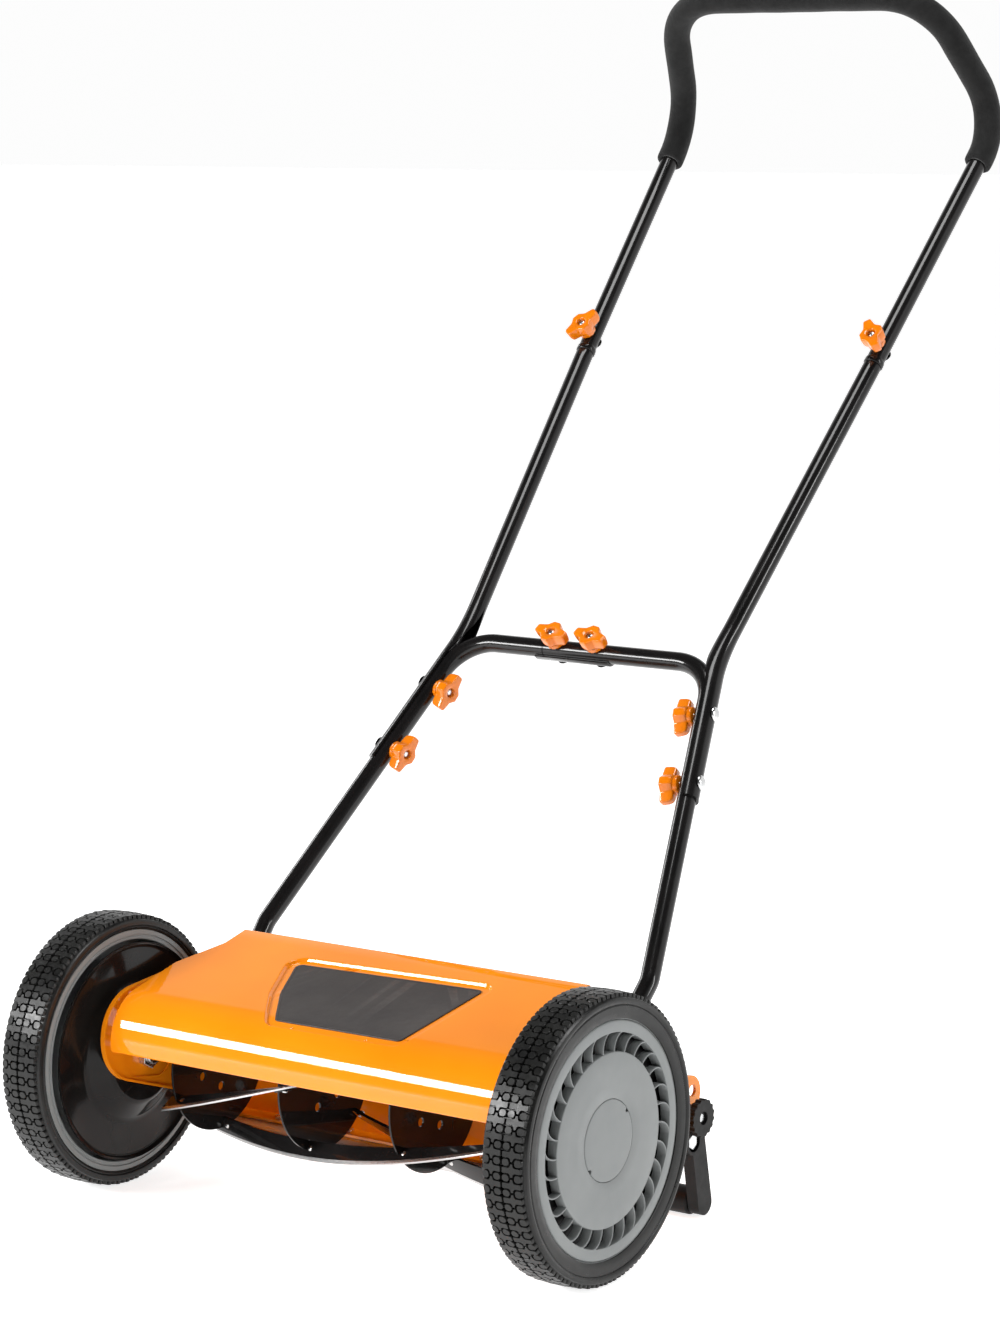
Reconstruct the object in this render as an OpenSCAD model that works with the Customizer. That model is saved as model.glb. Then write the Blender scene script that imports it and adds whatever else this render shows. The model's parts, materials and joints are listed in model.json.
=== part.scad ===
// Push reel mower: helical cutting reel, two geared wheels, rear height roller and bolted tube handle.
// +Z is up, -Y is the front and +X is the right-hand side. Millimetres.

/* [Wheels] */
// Outer diameter of the tyres
wheel_d = 254; // [250:1:258]
// Distance from the middle of the mower to the inner face of each tyre
tyre_inner_x = 248; // [246:1:250]
// Width of each tyre
tyre_w = 46; // [44:1:48]
// Fins in the ring of each hub cap
fin_count = 30; // [24:1:36]

/* [Reel] */
// Radius swept by the cutting edges
reel_r = 74; // [73:0.5:75]
// Length of the cutting blades
cut_w = 406; // [396:1:408]
// Number of helical blades
blade_count = 5; // [5:1:5]
// Twist of a blade per millimetre of length, in degrees
blade_twist = -0.24; // [-0.3:0.01:-0.2]
// Radius of the discs that carry the blades
disc_r = 65; // [62:1:68]
// Distance between neighbouring discs
disc_pitch = 126; // [120:1:130]
// Height of the reel axis above the ground
reel_z = 115; // [114:0.5:117]

/* [Gears] */
// Gear module
gear_m = 2.25; // [2.25:0.05:2.25]
// Teeth of the ring gear inside each wheel
ring_teeth = 64; // [64:1:64]
// Teeth of each pinion on the reel shaft
pinion_teeth = 13; // [13:1:13]
// Pressure angle of the teeth
pressure_angle = 25; // [25:1:25]
// Play between meshing flanks
gear_play = 0.5; // [0.4:0.05:0.6]

/* [Chassis] */
// Distance from the middle to the inner face of each side plate
plate_x = 226; // [225:0.5:227]
// Thickness of the side plates
plate_t = 3; // [2.5:0.5:3]
// Width of the turned lip of a side plate
lip_w = 2; // [1.5:0.5:4]
// Half width of the top cover at its front edge
cover_front_x = 215; // [212:1:215]
// Half width of the top cover at its rear edge
cover_rear_x = 196; // [192:1:200]
// Thickness of the top cover sheet
cover_t = 1.5; // [1:0.1:2]

/* [Handle] */
// Outer radius of the handle tubes
tube_r = 9; // [8.5:0.25:9]
// Wall of the handle tubes
tube_wall = 1.2; // [1:0.1:1.3]
// Outer radius of the foam grip
foam_r = 14; // [12:0.5:15]
// Length of a wing knob
wing_l = 39; // [36:1:42]

/* [Roller] */
// Radius of the rear roller
roller_r = 13; // [12:0.5:13]
// Radius of the scalloped height knobs
height_knob_r = 17.5; // [16:0.5:18]

/* [Hidden] */
$fn = 64;
SIDES = ["right", "left"];

orange = "darkorange";
black_paint = [0.06, 0.06, 0.07];
dark_plastic = [0.16, 0.16, 0.17];
grey_plastic = [0.58, 0.60, 0.60];
steel = [0.75, 0.76, 0.78];

// Wheel and reel axes, as [Y, Z] before the model is centred
wheel_r = wheel_d / 2;
axle = [0, wheel_r];
gear_centres = gear_m * (ring_teeth - pinion_teeth) / 2;
reel = [sqrt(pow(gear_centres, 2) - pow(wheel_r - reel_z, 2)), reel_z];
mesh_angle = atan2(reel[1] - axle[1], reel[0] - axle[0]);
arc_step = 7;

// Gear radii
ring_pitch_r = gear_m * ring_teeth / 2;
pinion_pitch_r = gear_m * pinion_teeth / 2;
addendum = 0.8 * gear_m;
dedendum = 1.05 * gear_m;

// Places along X, going outwards on one side
bearing_x = plate_x - 7;
dish_x = plate_x + plate_t + 0.2;
gear_x0 = tyre_inner_x + 9;
gear_x1 = gear_x0 + 14;
rim_x0 = tyre_inner_x + 1.5;
web_x = tyre_inner_x + 28;
hub_x0 = tyre_inner_x + 4;
hub_x1 = tyre_inner_x + 36;
cap_x = tyre_inner_x + 43.5;
shaft_r = 6;
axle_r = 8;
run_gap = 0.05;
cut = 1;
rim_r = 112.7;
drum_r = 103.5;
blade_phase = 160.6;
blade_t = 2.8;
blade_in_r = 56;
hub_r = 11;
clip_t = 0.9;
hub_clip_x = hub_x1 + 1.45;
pinion_clip_x = gear_x1 + 1.25;
pawl = [5.6, 3, 16];
knife_t = 3.3;
knife_y = 112;
knife_bolts_x = [-160:80:160];
bar_bolts_x = [-150, 0, 150];
chassis_bolt_r = 3;
chassis_head_r = 6;
cover_bolt_r = 2.5;
eye_bolt_r = 5;
eye_bolt_head_r = 9;
eye_t = 6.4;
eye_r = 11;
knife = [reel[0] + (reel_r + 0.6) * cos(-68), reel[1] + (reel_r + 0.6) * sin(-68)];

// Rear height bracket, as [Y, Z]
roller_c = [225.5, roller_r];
pivot_c = [207, 73];
stud_c = [209.3, 96];
bracket_x0 = plate_x + plate_t + 1.5;
bracket_x1 = bracket_x0 + 11.5;
catcher_hole = [223, 115.5];
catcher_r = 5.5;
pivot_r = 4;
stud_r = 4;
height_bolt_r = 8;
roller_axle_r = 5;
stud_swing = norm(stud_c - pivot_c);
stud_angle = atan2(stud_c[1] - pivot_c[1], stud_c[0] - pivot_c[0]);

// Top cover section
nose = [-16, 150];
nose_r = 47;
cover_rear = [108, 230.6];
cover_slope = 14.5;

// Handle points on the right-hand side
eye = [214, 105, 156];
leg_low = [220, 165.6, 225];
corner = [145.7, 380.2, 478];
side_low = [174.5, 297.1, 380];
side_high = [158, 344.6, 436];
saddle_low = [179.9, 281.4, 361.5];
joint = [170, 619, 746];
foam_end = [184, 792, 938];
grip_bend = [187.2, 831.3, 981.6];
grip_corner = [151.7, 745.7, 1103.1];
bend_r = 50;
grip_bend_r = 61;
grip_corner_r = 68;
splice_x = 45;
cradle_end = 30;
tube_in = tube_r - tube_wall;
leg_dir = unit(corner - leg_low);
leg_out = unit([1, 0, 0] - leg_dir * leg_dir[0]);
top_dir = unit(foam_end - joint);
top_front = unit([0, -top_dir[2], top_dir[1]]);
cross_up = [0, -0.64, 0.7684];
cross_bolts_x = [-30, 15];
bolt_r = 3;
bolt_head_r = 7;
saddle_t = 2.6;
wing_h = 20;
wing_collar_r = 9;

// Rearmost reach of the foam grip: the bend's circle plus the foam radius
bend_in = unit(grip_bend - joint);
bend_out = unit(grip_corner - grip_bend);
bend_turn = acos(bend_in * bend_out);
bend_axis = unit(cross(bend_in, bend_out));
bend_centre = grip_bend + unit(bend_out - bend_in) * grip_bend_r / cos(bend_turn / 2);
rear_y = bend_centre[1] + grip_bend_r * sqrt(1 - pow(bend_axis[1], 2)) + foam_r;
mid_y = (rear_y - wheel_r) / 2;

function unit(v) = v / norm(v);
function mirrored(v) = [-v[0], v[1], v[2]];
function spin(a, r) = [r * cos(a), r * sin(a)];

// Closed belt round circles [y, z, r], listed anticlockwise
function belt_side(a, b) =
    let (d = [b[0] - a[0], b[1] - a[1]])
    atan2(d[1], d[0]) - acos((a[2] - b[2]) / norm(d));
function belt_arc(p, q, s) =
    let (n0 = belt_side(p, q), sweep = (belt_side(q, s) - n0 + 720) % 360,
         steps = max(1, ceil(sweep / arc_step)))
    [for (k = [0:steps]) [q[0], q[1]] + spin(n0 + sweep * k / steps, q[2])];
function belt(c) = let (n = len(c))
    [for (i = [0:n - 1]) each belt_arc(c[(i + n - 1) % n], c[i], c[(i + 1) % n])];
function inset(c, t) = [for (q = c) [q[0], q[1], q[2] - t]];

// Involute tooth outline
function inv(a) = tan(a) * 180 / PI - a;
function flank(r, teeth, width) =
    let (rp = gear_m * teeth / 2, rb = rp * cos(pressure_angle))
    width / 2 / rp * 180 / PI + inv(pressure_angle) - inv(r > rb ? acos(rb / r) : 0);
function tooth(a, radii, teeth, width) = let (n = len(radii) - 1)
    concat([for (i = [0:n]) spin(a - flank(radii[i], teeth, width), radii[i])],
           [for (i = [0:n]) spin(a + flank(radii[n - i], teeth, width), radii[n - i])]);
function gear_outline(teeth, radii, width) =
    [for (k = [0:teeth - 1]) each tooth(k * 360 / teeth, radii, teeth, width)];

module centred() {
    translate([0, -mid_y, 0]) children();
}

module side(name) {
    if (name == "left") mirror([1, 0, 0]) children();
    else children();
}

module along_x(x0, x1) {
    translate([x0, 0, 0]) rotate([90, 0, 90]) linear_extrude(x1 - x0) children();
}

module rod_x(x0, x1, c, r) {
    translate([x0, c[0], c[1]]) rotate([0, 90, 0]) cylinder(h = x1 - x0, r = r);
}

// Turns a profile of [radius, x] points about an axis parallel to X
module turned(c, points) {
    translate([0, c[0], c[1]]) rotate([0, 90, 0]) rotate_extrude($fn = 128) polygon(points);
}

// Frame with its third axis along d, standing at p
module stand(p, d) {
    z = unit(d);
    x = unit(cross(abs(z[0]) > 0.9 ? [0, 1, 0] : [1, 0, 0], z));
    y = cross(z, x);
    multmatrix([[x[0], y[0], z[0], p[0]], [x[1], y[1], z[1], p[1]], [x[2], y[2], z[2], p[2]]])
        children();
}

module rod(a, b, r) {
    stand(a, b - a) cylinder(h = norm(b - a), r = r);
}

module elbow(a, b, c, bend, r) {
    u = unit(b - a);
    v = unit(c - b);
    turn = acos(u * v);
    centre = b + unit(v - u) * bend / cos(turn / 2);
    x = unit(b - u * bend * tan(turn / 2) - centre);
    z = cross(x, u);
    multmatrix([[x[0], u[0], z[0], centre[0]], [x[1], u[1], z[1], centre[1]],
                [x[2], u[2], z[2], centre[2]]])
        rotate_extrude(angle = turn) translate([bend, 0]) circle(r);
}

function setback(p, bends, i) = (i == 0 || i == len(p) - 1) ? 0 :
    bends[i] * tan(acos(unit(p[i] - p[i - 1]) * unit(p[i + 1] - p[i])) / 2);

// Round bar that follows the points p, with a bend radius at each inner point and a fine collar
// at each joint
module bar(p, bends, r) {
    gap = 0.15;
    last = len(p) - 2;
    for (i = [0:last]) {
        d = unit(p[i + 1] - p[i]);
        a = p[i] + d * setback(p, bends, i);
        b = p[i + 1] - d * setback(p, bends, i + 1);
        rod(a + d * (i > 0 ? gap : 0), b - d * (i < last ? gap : 0), r);
        if (i > 0) rod(a - d * 0.3, a + d * 0.9, r + 0.04);
        if (i < last) rod(b - d * 0.9, b + d * 0.3, r + 0.04);
    }
    for (i = [1:last]) elbow(p[i - 1], p[i], p[i + 1], bends[i], r);
}

module tube(p, bends, outer, inner) {
    difference() {
        bar(p, bends, outer);
        bar(p, bends, inner);
    }
}

plate_main = [[nose[0], nose[1], 45], [50, 101.2, 19], [140, 110, 30], [96, 194, 14]];
plate_foot = [[60, 110, 20], [118, 62, 20], [150, 80, 20], [150, 110, 28]];
plate_tail = [[150, 100, 30], [pivot_c[0], pivot_c[1], 15], [219, 113, 17]];

module plate_outline() {
    polygon(belt(plate_main));
    polygon(belt(plate_foot));
    polygon(belt(plate_tail));
}

module lip_outline() {
    difference() {
        polygon(belt(plate_main));
        polygon(belt(inset(plate_main, 2.2)));
        polygon(belt(plate_foot));
        polygon(belt(plate_tail));
        translate([lip_end_y, 0]) square(300);
    }
}

// Curved slot for the height stud, about the bracket pivot
module stud_slot() {
    for (a = [stud_angle - 12:6:stud_angle + 44])
        rod_x(plate_x - cut, plate_x + plate_t + cut, pivot_c + spin(a, stud_swing), stud_r + 0.6);
}

// The lip stops here, in front of the handle legs
lip_end_y = 100;
cover_bolt_at = [[-18, 166], [20, 187]];

// Holes of a side plate, as [Y, Z, radius]
plate_holes = concat(
    [[axle[0], axle[1], axle_r], [reel[0], reel[1], hub_r], [eye[1], eye[2], eye_bolt_r],
     [pivot_c[0], pivot_c[1], pivot_r], [catcher_hole[0], catcher_hole[1], catcher_r]],
    [for (c = cover_bolt_at) [c[0], c[1], cover_bolt_r]]);

module side_plate(name) {
    recess = 1.2;
    recess_r = 19;
    color(orange) centred() side(name) difference() {
        union() {
            along_x(plate_x, plate_x + plate_t) plate_outline();
            along_x(plate_x - lip_w, plate_x) lip_outline();
        }
        along_x(plate_x - cut, plate_x + recess)
            polygon(belt([[-12, axle[1], recess_r], [14, axle[1] - 4, recess_r]]));
        for (h = plate_holes) rod_x(plate_x - cut, plate_x + plate_t + cut, [h[0], h[1]], h[2]);
        stud_slot();
    }
}

// Section of the top cover, thickness t inside the outer surface and raised by lift
module cover_section(lift, t) {
    out = nose_r + lift;
    in = out - t;
    n = [-sin(cover_slope), cos(cover_slope)];
    rear = cover_rear + n * lift;
    first = 90 + cover_slope;
    steps = 16;
    sweep = 187 - first;
    polygon(concat([rear, rear - n * t],
        [for (k = [0:steps]) nose + spin(first + sweep * k / steps, in)],
        [for (k = [0:steps]) nose + spin(187 - sweep * k / steps, out)]));
}

module top_cover() {
    tab_t = 1.8;
    tab_x = cover_front_x - 4;
    flange_h = 11;
    taper_y = [-80, 28, 76, 109];
    color(orange) centred() {
        intersection() {
            along_x(-cover_front_x, cover_front_x) cover_section(0, cover_t);
            linear_extrude(300) polygon([[-cover_front_x, taper_y[0]], [cover_front_x, taper_y[0]],
                [cover_front_x, taper_y[1]], [cover_rear_x, taper_y[2]],
                [cover_rear_x, taper_y[3]], [-cover_rear_x, taper_y[3]],
                [-cover_rear_x, taper_y[2]], [-cover_front_x, taper_y[1]]]);
        }
        along_x(-cover_rear_x + 2, cover_rear_x - 2) translate(cover_rear - [1.7, flange_h])
            square([cover_t, flange_h - 1.4]);
        for (s = SIDES) side(s) for (c = cover_bolt_at) difference() {
            along_x(tab_x, tab_x + tab_t)
                polygon(belt([[c[0], c[1], 8], [c[0] + 0.3, c[1] + 1, 8],
                              [c[0] - 1, c[1] + (c[0] > 0 ? 13 : 23.2), 7]]));
            rod_x(tab_x - cut, tab_x + tab_t + cut, c, cover_bolt_r);
        }
    }
}

badge_outline = [[-45, -36], [95, -36], [108, 70], [-99, 63], [-76, 9]];

module badge_plate() {
    color(dark_plastic) centred() intersection() {
        along_x(-150, 150) cover_section(1.2, 1.1);
        linear_extrude(300) polygon(badge_outline);
    }
}

bar_foot = [99, 51.4];
bar_heel = [134, 47];
bar_top = [143, 90];

module bed_bar() {
    t = 2.5;
    color(orange) centred() difference() {
        along_x(-plate_x + 0.1, plate_x - 0.1)
            polygon([bar_foot, bar_heel, bar_top, bar_top + [16, 4], bar_top + [16, 4 + t],
                     bar_top + [-2, t], bar_heel + [-2.4, t], bar_foot + [0, t]]);
        for (x = knife_bolts_x) translate([x, knife_y, 40]) cylinder(h = 20, r = chassis_bolt_r);
        for (x = bar_bolts_x) translate([x, 130, 70]) rotate([-90, 0, 0])
            cylinder(h = 20, r = chassis_bolt_r);
    }
}

module bed_knife() {
    color(steel) centred() difference() {
        along_x(-cut_w / 2 - 4, cut_w / 2 + 4)
            polygon([knife, knife + [1.5, -3.4], [bar_foot[0], 47.6], [126, 44.4], [126, 47.7],
                     [bar_foot[0], 51.2]]);
        for (x = knife_bolts_x) translate([x, knife_y, 40]) cylinder(h = 20, r = chassis_bolt_r);
    }
}

module chassis_bolts() {
    color(steel) centred() {
        for (x = knife_bolts_x) translate([x, knife_y, 0]) {
            translate([0, 0, 40.8]) cylinder(h = 14, r = chassis_bolt_r);
            translate([0, 0, 40.5]) cylinder(h = 4.4, r = chassis_head_r - 0.5, $fn = 6);
            translate([0, 0, 53.1]) cylinder(h = 2, r = chassis_head_r);
        }
        for (x = bar_bolts_x) {
            translate([x, 133, 70]) rotate([-90, 0, 0]) cylinder(h = 12, r = chassis_bolt_r);
            translate([x, 131, 70]) rotate([-90, 0, 0]) cylinder(h = 4, r = chassis_head_r, $fn = 6);
        }
        for (s = SIDES) side(s) for (c = cover_bolt_at) {
            rod_x(cover_front_x - 5, plate_x + plate_t, c, cover_bolt_r);
            rod_x(cover_front_x - 7, cover_front_x - 4, c, 2 * cover_bolt_r);
            rod_x(cover_front_x - 2.2, plate_x, c, cover_bolt_r + 1.5);
        }
    }
}

module stub_axle(name) {
    groove = [hub_clip_x - 0.05, hub_clip_x + clip_t + 0.05];
    color(steel) centred() side(name) {
        difference() {
            rod_x(plate_x - 9, cap_x - 4, axle, axle_r);
            difference() {
                rod_x(groove[0], groove[1], axle, axle_r + cut);
                rod_x(groove[0] - cut, groove[1] + cut, axle, axle_r - 2);
            }
        }
        rod_x(plate_x + plate_t, plate_x + plate_t + 2, axle, 13);
    }
}

module axle_fasteners() {
    nut_r = 13;
    nut_x0 = plate_x - 6;
    nut_x1 = plate_x + 1.2;
    washer_x0 = hub_x1 + 0.1;
    washer_x1 = hub_x1 + 1.3;
    color(steel) centred() for (s = SIDES) side(s) {
        difference() {
            translate([nut_x0, axle[0], axle[1]]) rotate([0, 90, 0])
                cylinder(h = nut_x1 - nut_x0, r = nut_r, $fn = 6);
            rod_x(nut_x0 - cut, nut_x1 + cut, axle, axle_r);
        }
        difference() {
            rod_x(washer_x0, washer_x1, axle, axle_r + 6);
            rod_x(washer_x0 - cut, washer_x1 + cut, axle, axle_r + run_gap);
        }
        spring_clip(axle, hub_clip_x, axle_r - 2, axle_r + 3);
    }
}

// Open retaining ring round a shaft parallel to X
module spring_clip(c, x0, inner, outer) {
    mouth = inner - 1;
    difference() {
        rod_x(x0, x0 + clip_t, c, outer);
        rod_x(x0 - cut, x0 + clip_t + cut, c, inner);
        translate([x0 - cut, c[0] - mouth, c[1] - outer - cut])
            cube([clip_t + 2 * cut, 2 * mouth, outer + cut]);
    }
}

module dust_cover(name) {
    t = 1.6;
    deep = tyre_inner_x - 3;
    color(black_paint) centred() side(name) difference() {
        turned(axle, [[14, dish_x], [45, dish_x], [66, deep], [98, deep + 0.6], [101.6, deep - 2],
                      [101.6, deep - 2 + t], [98.6, deep + 0.6 + t], [65, deep + t],
                      [44, dish_x + t], [14, dish_x + t]]);
        rod_x(dish_x - cut, deep + 5, reel, shaft_r + 2);
    }
}

module reel_bearings() {
    flange_r = 17;
    color(dark_plastic) centred() for (s = SIDES) side(s) difference() {
        union() {
            rod_x(bearing_x, plate_x, reel, flange_r);
            rod_x(plate_x, plate_x + plate_t, reel, hub_r);
        }
        rod_x(bearing_x - cut, plate_x + plate_t + cut, reel, shaft_r + run_gap);
    }
}

stop_c = [130.2, 163.3];
stop_r = 3.5;

module handle_pins() {
    pin_c = [eye[1], eye[2]];
    plate_out = plate_x + plate_t;
    eye_gap = 0.5;
    nut_t = 4.4;
    color(steel) centred() for (s = SIDES) side(s) {
        rod_x(eye[0] - 7.5, plate_out + 1, pin_c, eye_bolt_r);
        rod_x(plate_out, plate_out + 3.5, pin_c, eye_bolt_head_r);
        difference() {
            rod_x(eye[0] + eye_t / 2 + eye_gap, plate_x, pin_c, eye_bolt_head_r);
            rod_x(eye[0], plate_x + cut, pin_c, eye_bolt_r);
        }
        translate([eye[0] - eye_t / 2 - eye_gap - nut_t, pin_c[0], pin_c[1]]) rotate([0, 90, 0])
            cylinder(h = nut_t, r = eye_bolt_head_r, $fn = 6);
        rod_x(eye[0] - eye_t / 2, plate_x, stop_c, stop_r);
    }
}

module adjuster_pivots() {
    head_r = 7;
    head_x = bracket_x1 - 6;
    nut_t = 5;
    color(steel) centred() for (s = SIDES) side(s) {
        rod_x(plate_x - nut_t, head_x, pivot_c, pivot_r);
        translate([head_x, pivot_c[0], pivot_c[1]]) rotate([0, 90, 0])
            cylinder(h = 4.5, r = head_r, $fn = 6);
        translate([plate_x - nut_t, pivot_c[0], pivot_c[1]]) rotate([0, 90, 0])
            cylinder(h = nut_t, r = head_r, $fn = 6);
        difference() {
            rod_x(plate_x + plate_t, bracket_x0 - 0.1, pivot_c, 2 * pivot_r);
            rod_x(plate_x, bracket_x0 + cut, pivot_c, pivot_r);
        }
    }
}

module tyre(name) {
    a = tyre_inner_x;
    b = tyre_inner_x + tyre_w;
    lip_r = drum_r + 0.5;
    color([0.08, 0.08, 0.08]) centred() side(name)
        turned(axle, [[rim_r, a + 1.8], [116, a + 0.2], [121, a], [124.6, a + 2.2],
                      [wheel_r - 0.4, a + 7], [wheel_r, a + 12], [wheel_r, b - 12],
                      [wheel_r - 0.4, b - 7], [124.6, b - 2.2], [121, b], [116, b - 0.2],
                      [lip_r, b - 2.2], [lip_r, cap_x - 0.9], [rim_r, cap_x - 0.9]]);
}

module wheel_rim(name) {
    color(grey_plastic) centred() side(name)
        turned(axle, [[hub_r, hub_x0], [17, hub_x0], [18.5, web_x], [drum_r - 1, web_x],
                      [drum_r, web_x - 2], [drum_r, rim_x0], [rim_r, rim_x0],
                      [rim_r, cap_x - 1], [drum_r, cap_x - 1], [drum_r, web_x + 4], [18, web_x + 4],
                      [17, hub_x1], [hub_r, hub_x1]]);
}

module ring_gear(name) {
    radii = [ring_pitch_r - addendum, ring_pitch_r, ring_pitch_r + dedendum];
    width = gear_m * PI / 2 + gear_play / 2;
    color(grey_plastic) centred() side(name) difference() {
        rod_x(gear_x0 - 2, web_x, axle, 85);
        along_x(gear_x0 - 3, web_x + 1) translate(axle) rotate(mesh_angle)
            polygon(gear_outline(ring_teeth, radii, width));
    }
}

module hub_bush(name) {
    color("burlywood") centred() side(name) difference() {
        rod_x(hub_x0, hub_x1, axle, hub_r);
        rod_x(hub_x0 - cut, hub_x1 + cut, axle, axle_r + run_gap);
    }
}

module hubcap(name) {
    ring_r = 92.5;
    disc_r_out = 76;
    disc_r_in = 35.9;
    fin = [20.2, 1.6, 4.6];
    fin_lean = -28;
    posts = 3;
    color(grey_plastic) centred() side(name) {
        turned(axle, [[ring_r, cap_x - 6], [drum_r - 0.2, cap_x - 6], [drum_r - 0.2, cap_x - 1.6],
                      [102.2, cap_x], [ring_r, cap_x]]);
        turned(axle, [[disc_r_in, cap_x - 3.5], [disc_r_out, cap_x - 5], [disc_r_out, cap_x],
                      [disc_r_in, cap_x]]);
        for (k = [0:fin_count - 1]) translate([cap_x - 5, axle[0], axle[1]]) rotate([0, 90, 0])
            rotate(k * 360 / fin_count) translate([disc_r_out - 1, 0, 0]) rotate(fin_lean)
            translate([0, -fin[1] / 2, 0]) cube(fin);
        for (k = [1:posts]) rod_x(web_x + 4, cap_x - 3.6, axle + spin(k * 360 / posts, 60), 4);
    }
}

module centre_cap(name) {
    cap_r = 35.6;
    notch_r = 3;
    color(grey_plastic) centred() side(name) difference() {
        turned(axle, [[0, cap_x - 3], [cap_r, cap_x - 3], [cap_r, cap_x], [20, cap_x + 0.3],
                      [0, cap_x + 0.4]]);
        for (a = [38, 218]) rod_x(cap_x - 1.5, cap_x + cut, axle + spin(a, 36), notch_r);
    }
}

module reel_shaft() {
    slot = [6, 3.2, 16];
    groove = [pinion_clip_x - 0.05, pinion_clip_x + clip_t + 0.05];
    color(steel) centred() difference() {
        rod_x(-web_x + 0.8, web_x - 0.8, reel, shaft_r);
        for (s = SIDES) side(s) {
            translate([gear_x0 + 4, reel[0] - slot[1] / 2, reel[1] - slot[2] / 2]) cube(slot);
            difference() {
                rod_x(groove[0], groove[1], reel, shaft_r + cut);
                rod_x(groove[0] - cut, groove[1] + cut, reel, shaft_r - 1.5);
            }
        }
    }
}

function blade_angle(k, x) = blade_phase + 72 * (k - 1) + blade_twist * x;

module reel_discs() {
    disc_t = 2;
    collar = 5;
    hole_r = 4;
    hole_at = 25;
    notch = [2 * disc_t, 20, blade_t + 1];
    color(black_paint) centred() for (i = [-1.5:1:1.5]) {
        x = i * disc_pitch;
        difference() {
            union() {
                rod_x(x - disc_t / 2, x + disc_t / 2, reel, disc_r);
                rod_x(x - collar, x + collar, reel, hub_r);
            }
            rod_x(x - collar - cut, x + collar + cut, reel, shaft_r);
            for (k = [1:blade_count]) {
                rod_x(x - disc_t, x + disc_t, reel + spin(blade_angle(k, x), hole_at), hole_r);
                translate([x, reel[0], reel[1]]) rotate([blade_angle(k, x), 0, 0])
                    translate([-disc_t, blade_in_r - 0.4, -notch[2] / 2]) cube(notch);
            }
        }
    }
}

// One helical strip, swept along X as a closed surface
module reel_blade(k) {
    steps = 40;
    half = cut_w / 2;
    thick = blade_t / 2;
    corners = [[blade_in_r, -thick], [reel_r, -thick * 0.5], [reel_r, thick], [blade_in_r, thick]];
    points = [for (i = [0:steps], c = corners)
        let (x = -half + cut_w * i / steps, a = blade_angle(k, x))
        [x, reel[0] + c[0] * cos(a) - c[1] * sin(a), reel[1] + c[0] * sin(a) + c[1] * cos(a)]];
    walls = [for (i = [0:steps - 1], j = [0:3])
        let (p = i * 4 + j, q = i * 4 + (j + 1) % 4)
        each [[p, q, p + 4], [q, q + 4, p + 4]]];
    last = steps * 4;
    color(black_paint) centred() polyhedron(points,
        concat([[3, 2, 1, 0]], walls, [[last, last + 1, last + 2, last + 3]]));
}

module pinion(name) {
    radii = [pinion_pitch_r - dedendum, 13.6, pinion_pitch_r, pinion_pitch_r + addendum];
    width = gear_m * PI / 2 - gear_play / 2;
    pocket = [gear_x0 + 3.5, gear_x0 + 10.5];
    color(steel) centred() side(name) difference() {
        along_x(gear_x0, gear_x1) translate(reel) rotate(mesh_angle)
            polygon(gear_outline(pinion_teeth, radii, width));
        rod_x(gear_x0 - cut, gear_x1 + cut, reel, shaft_r);
        rod_x(pocket[0], pocket[1], reel, 8.6);
    }
}

module ratchet_pawls() {
    color(steel) centred() for (s = SIDES) side(s)
        translate([gear_x0 + 4.2, reel[0] - pawl[1] / 2, reel[1] - pawl[2] / 2]) cube(pawl);
}

module pinion_clips() {
    color(steel) centred() for (s = SIDES) side(s)
        spring_clip(reel, pinion_clip_x, shaft_r - 1.5, shaft_r + 3);
}

module height_bracket(name) {
    pocket = 7;
    color(dark_plastic) centred() side(name) difference() {
        along_x(bracket_x0, bracket_x1) {
            polygon(belt([[roller_c[0], 12.5, 11], [stud_c[0] + 0.01, stud_c[1], 10.5]]));
            translate(pivot_c) circle(12);
        }
        rod_x(bracket_x0 - cut, bracket_x1 + cut, pivot_c, pivot_r + run_gap);
        rod_x(bracket_x1 - pocket, bracket_x1 + cut, pivot_c, 9);
        rod_x(bracket_x0 - cut, bracket_x1 + cut, stud_c, stud_r);
        rod_x(bracket_x0 - cut, bracket_x1 - 3, roller_c, roller_axle_r);
    }
}

module adjuster_bolts() {
    color(steel) centred() for (s = SIDES) side(s) {
        rod_x(plate_x - 3, bracket_x1 + 6, stud_c, stud_r);
        rod_x(plate_x - 4, plate_x - 0.2, stud_c, height_bolt_r);
    }
}

module roller_axle() {
    color(steel) centred() rod_x(-bracket_x1 + 3, bracket_x1 - 3, roller_c, roller_axle_r);
}

module roller() {
    end = bracket_x0 - 1;
    hollow = end - 14;
    bore = roller_axle_r + run_gap;
    chamfer = 1.5;
    color(dark_plastic) centred()
        turned(roller_c, [[bore, -end], [roller_r - chamfer, -end], [roller_r, -end + chamfer],
                          [roller_r, end - chamfer], [roller_r - chamfer, end], [bore, end],
                          [bore, hollow], [10.5, hollow], [10.5, -hollow], [bore, -hollow]]);
}

module adjuster_knob(name) {
    scallops = 16;
    scallop_r = 2.9;
    neck = 2;
    face = bracket_x1 + 8.5;
    socket = 3;
    color(dark_plastic) centred() side(name) difference() {
        union() {
            rod_x(bracket_x1 + 0.3, bracket_x1 + neck, stud_c, 9);
            rod_x(bracket_x1 + neck, face, stud_c, height_knob_r);
        }
        for (k = [1:scallops])
            rod_x(bracket_x1 + cut, face + cut,
                  stud_c + spin(k * 360 / scallops, height_knob_r + 1.6), scallop_r);
        rod_x(bracket_x1, face + cut, stud_c, stud_r + run_gap);
        rod_x(face - socket, face + cut, stud_c, stud_r + 2);
    }
}

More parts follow.
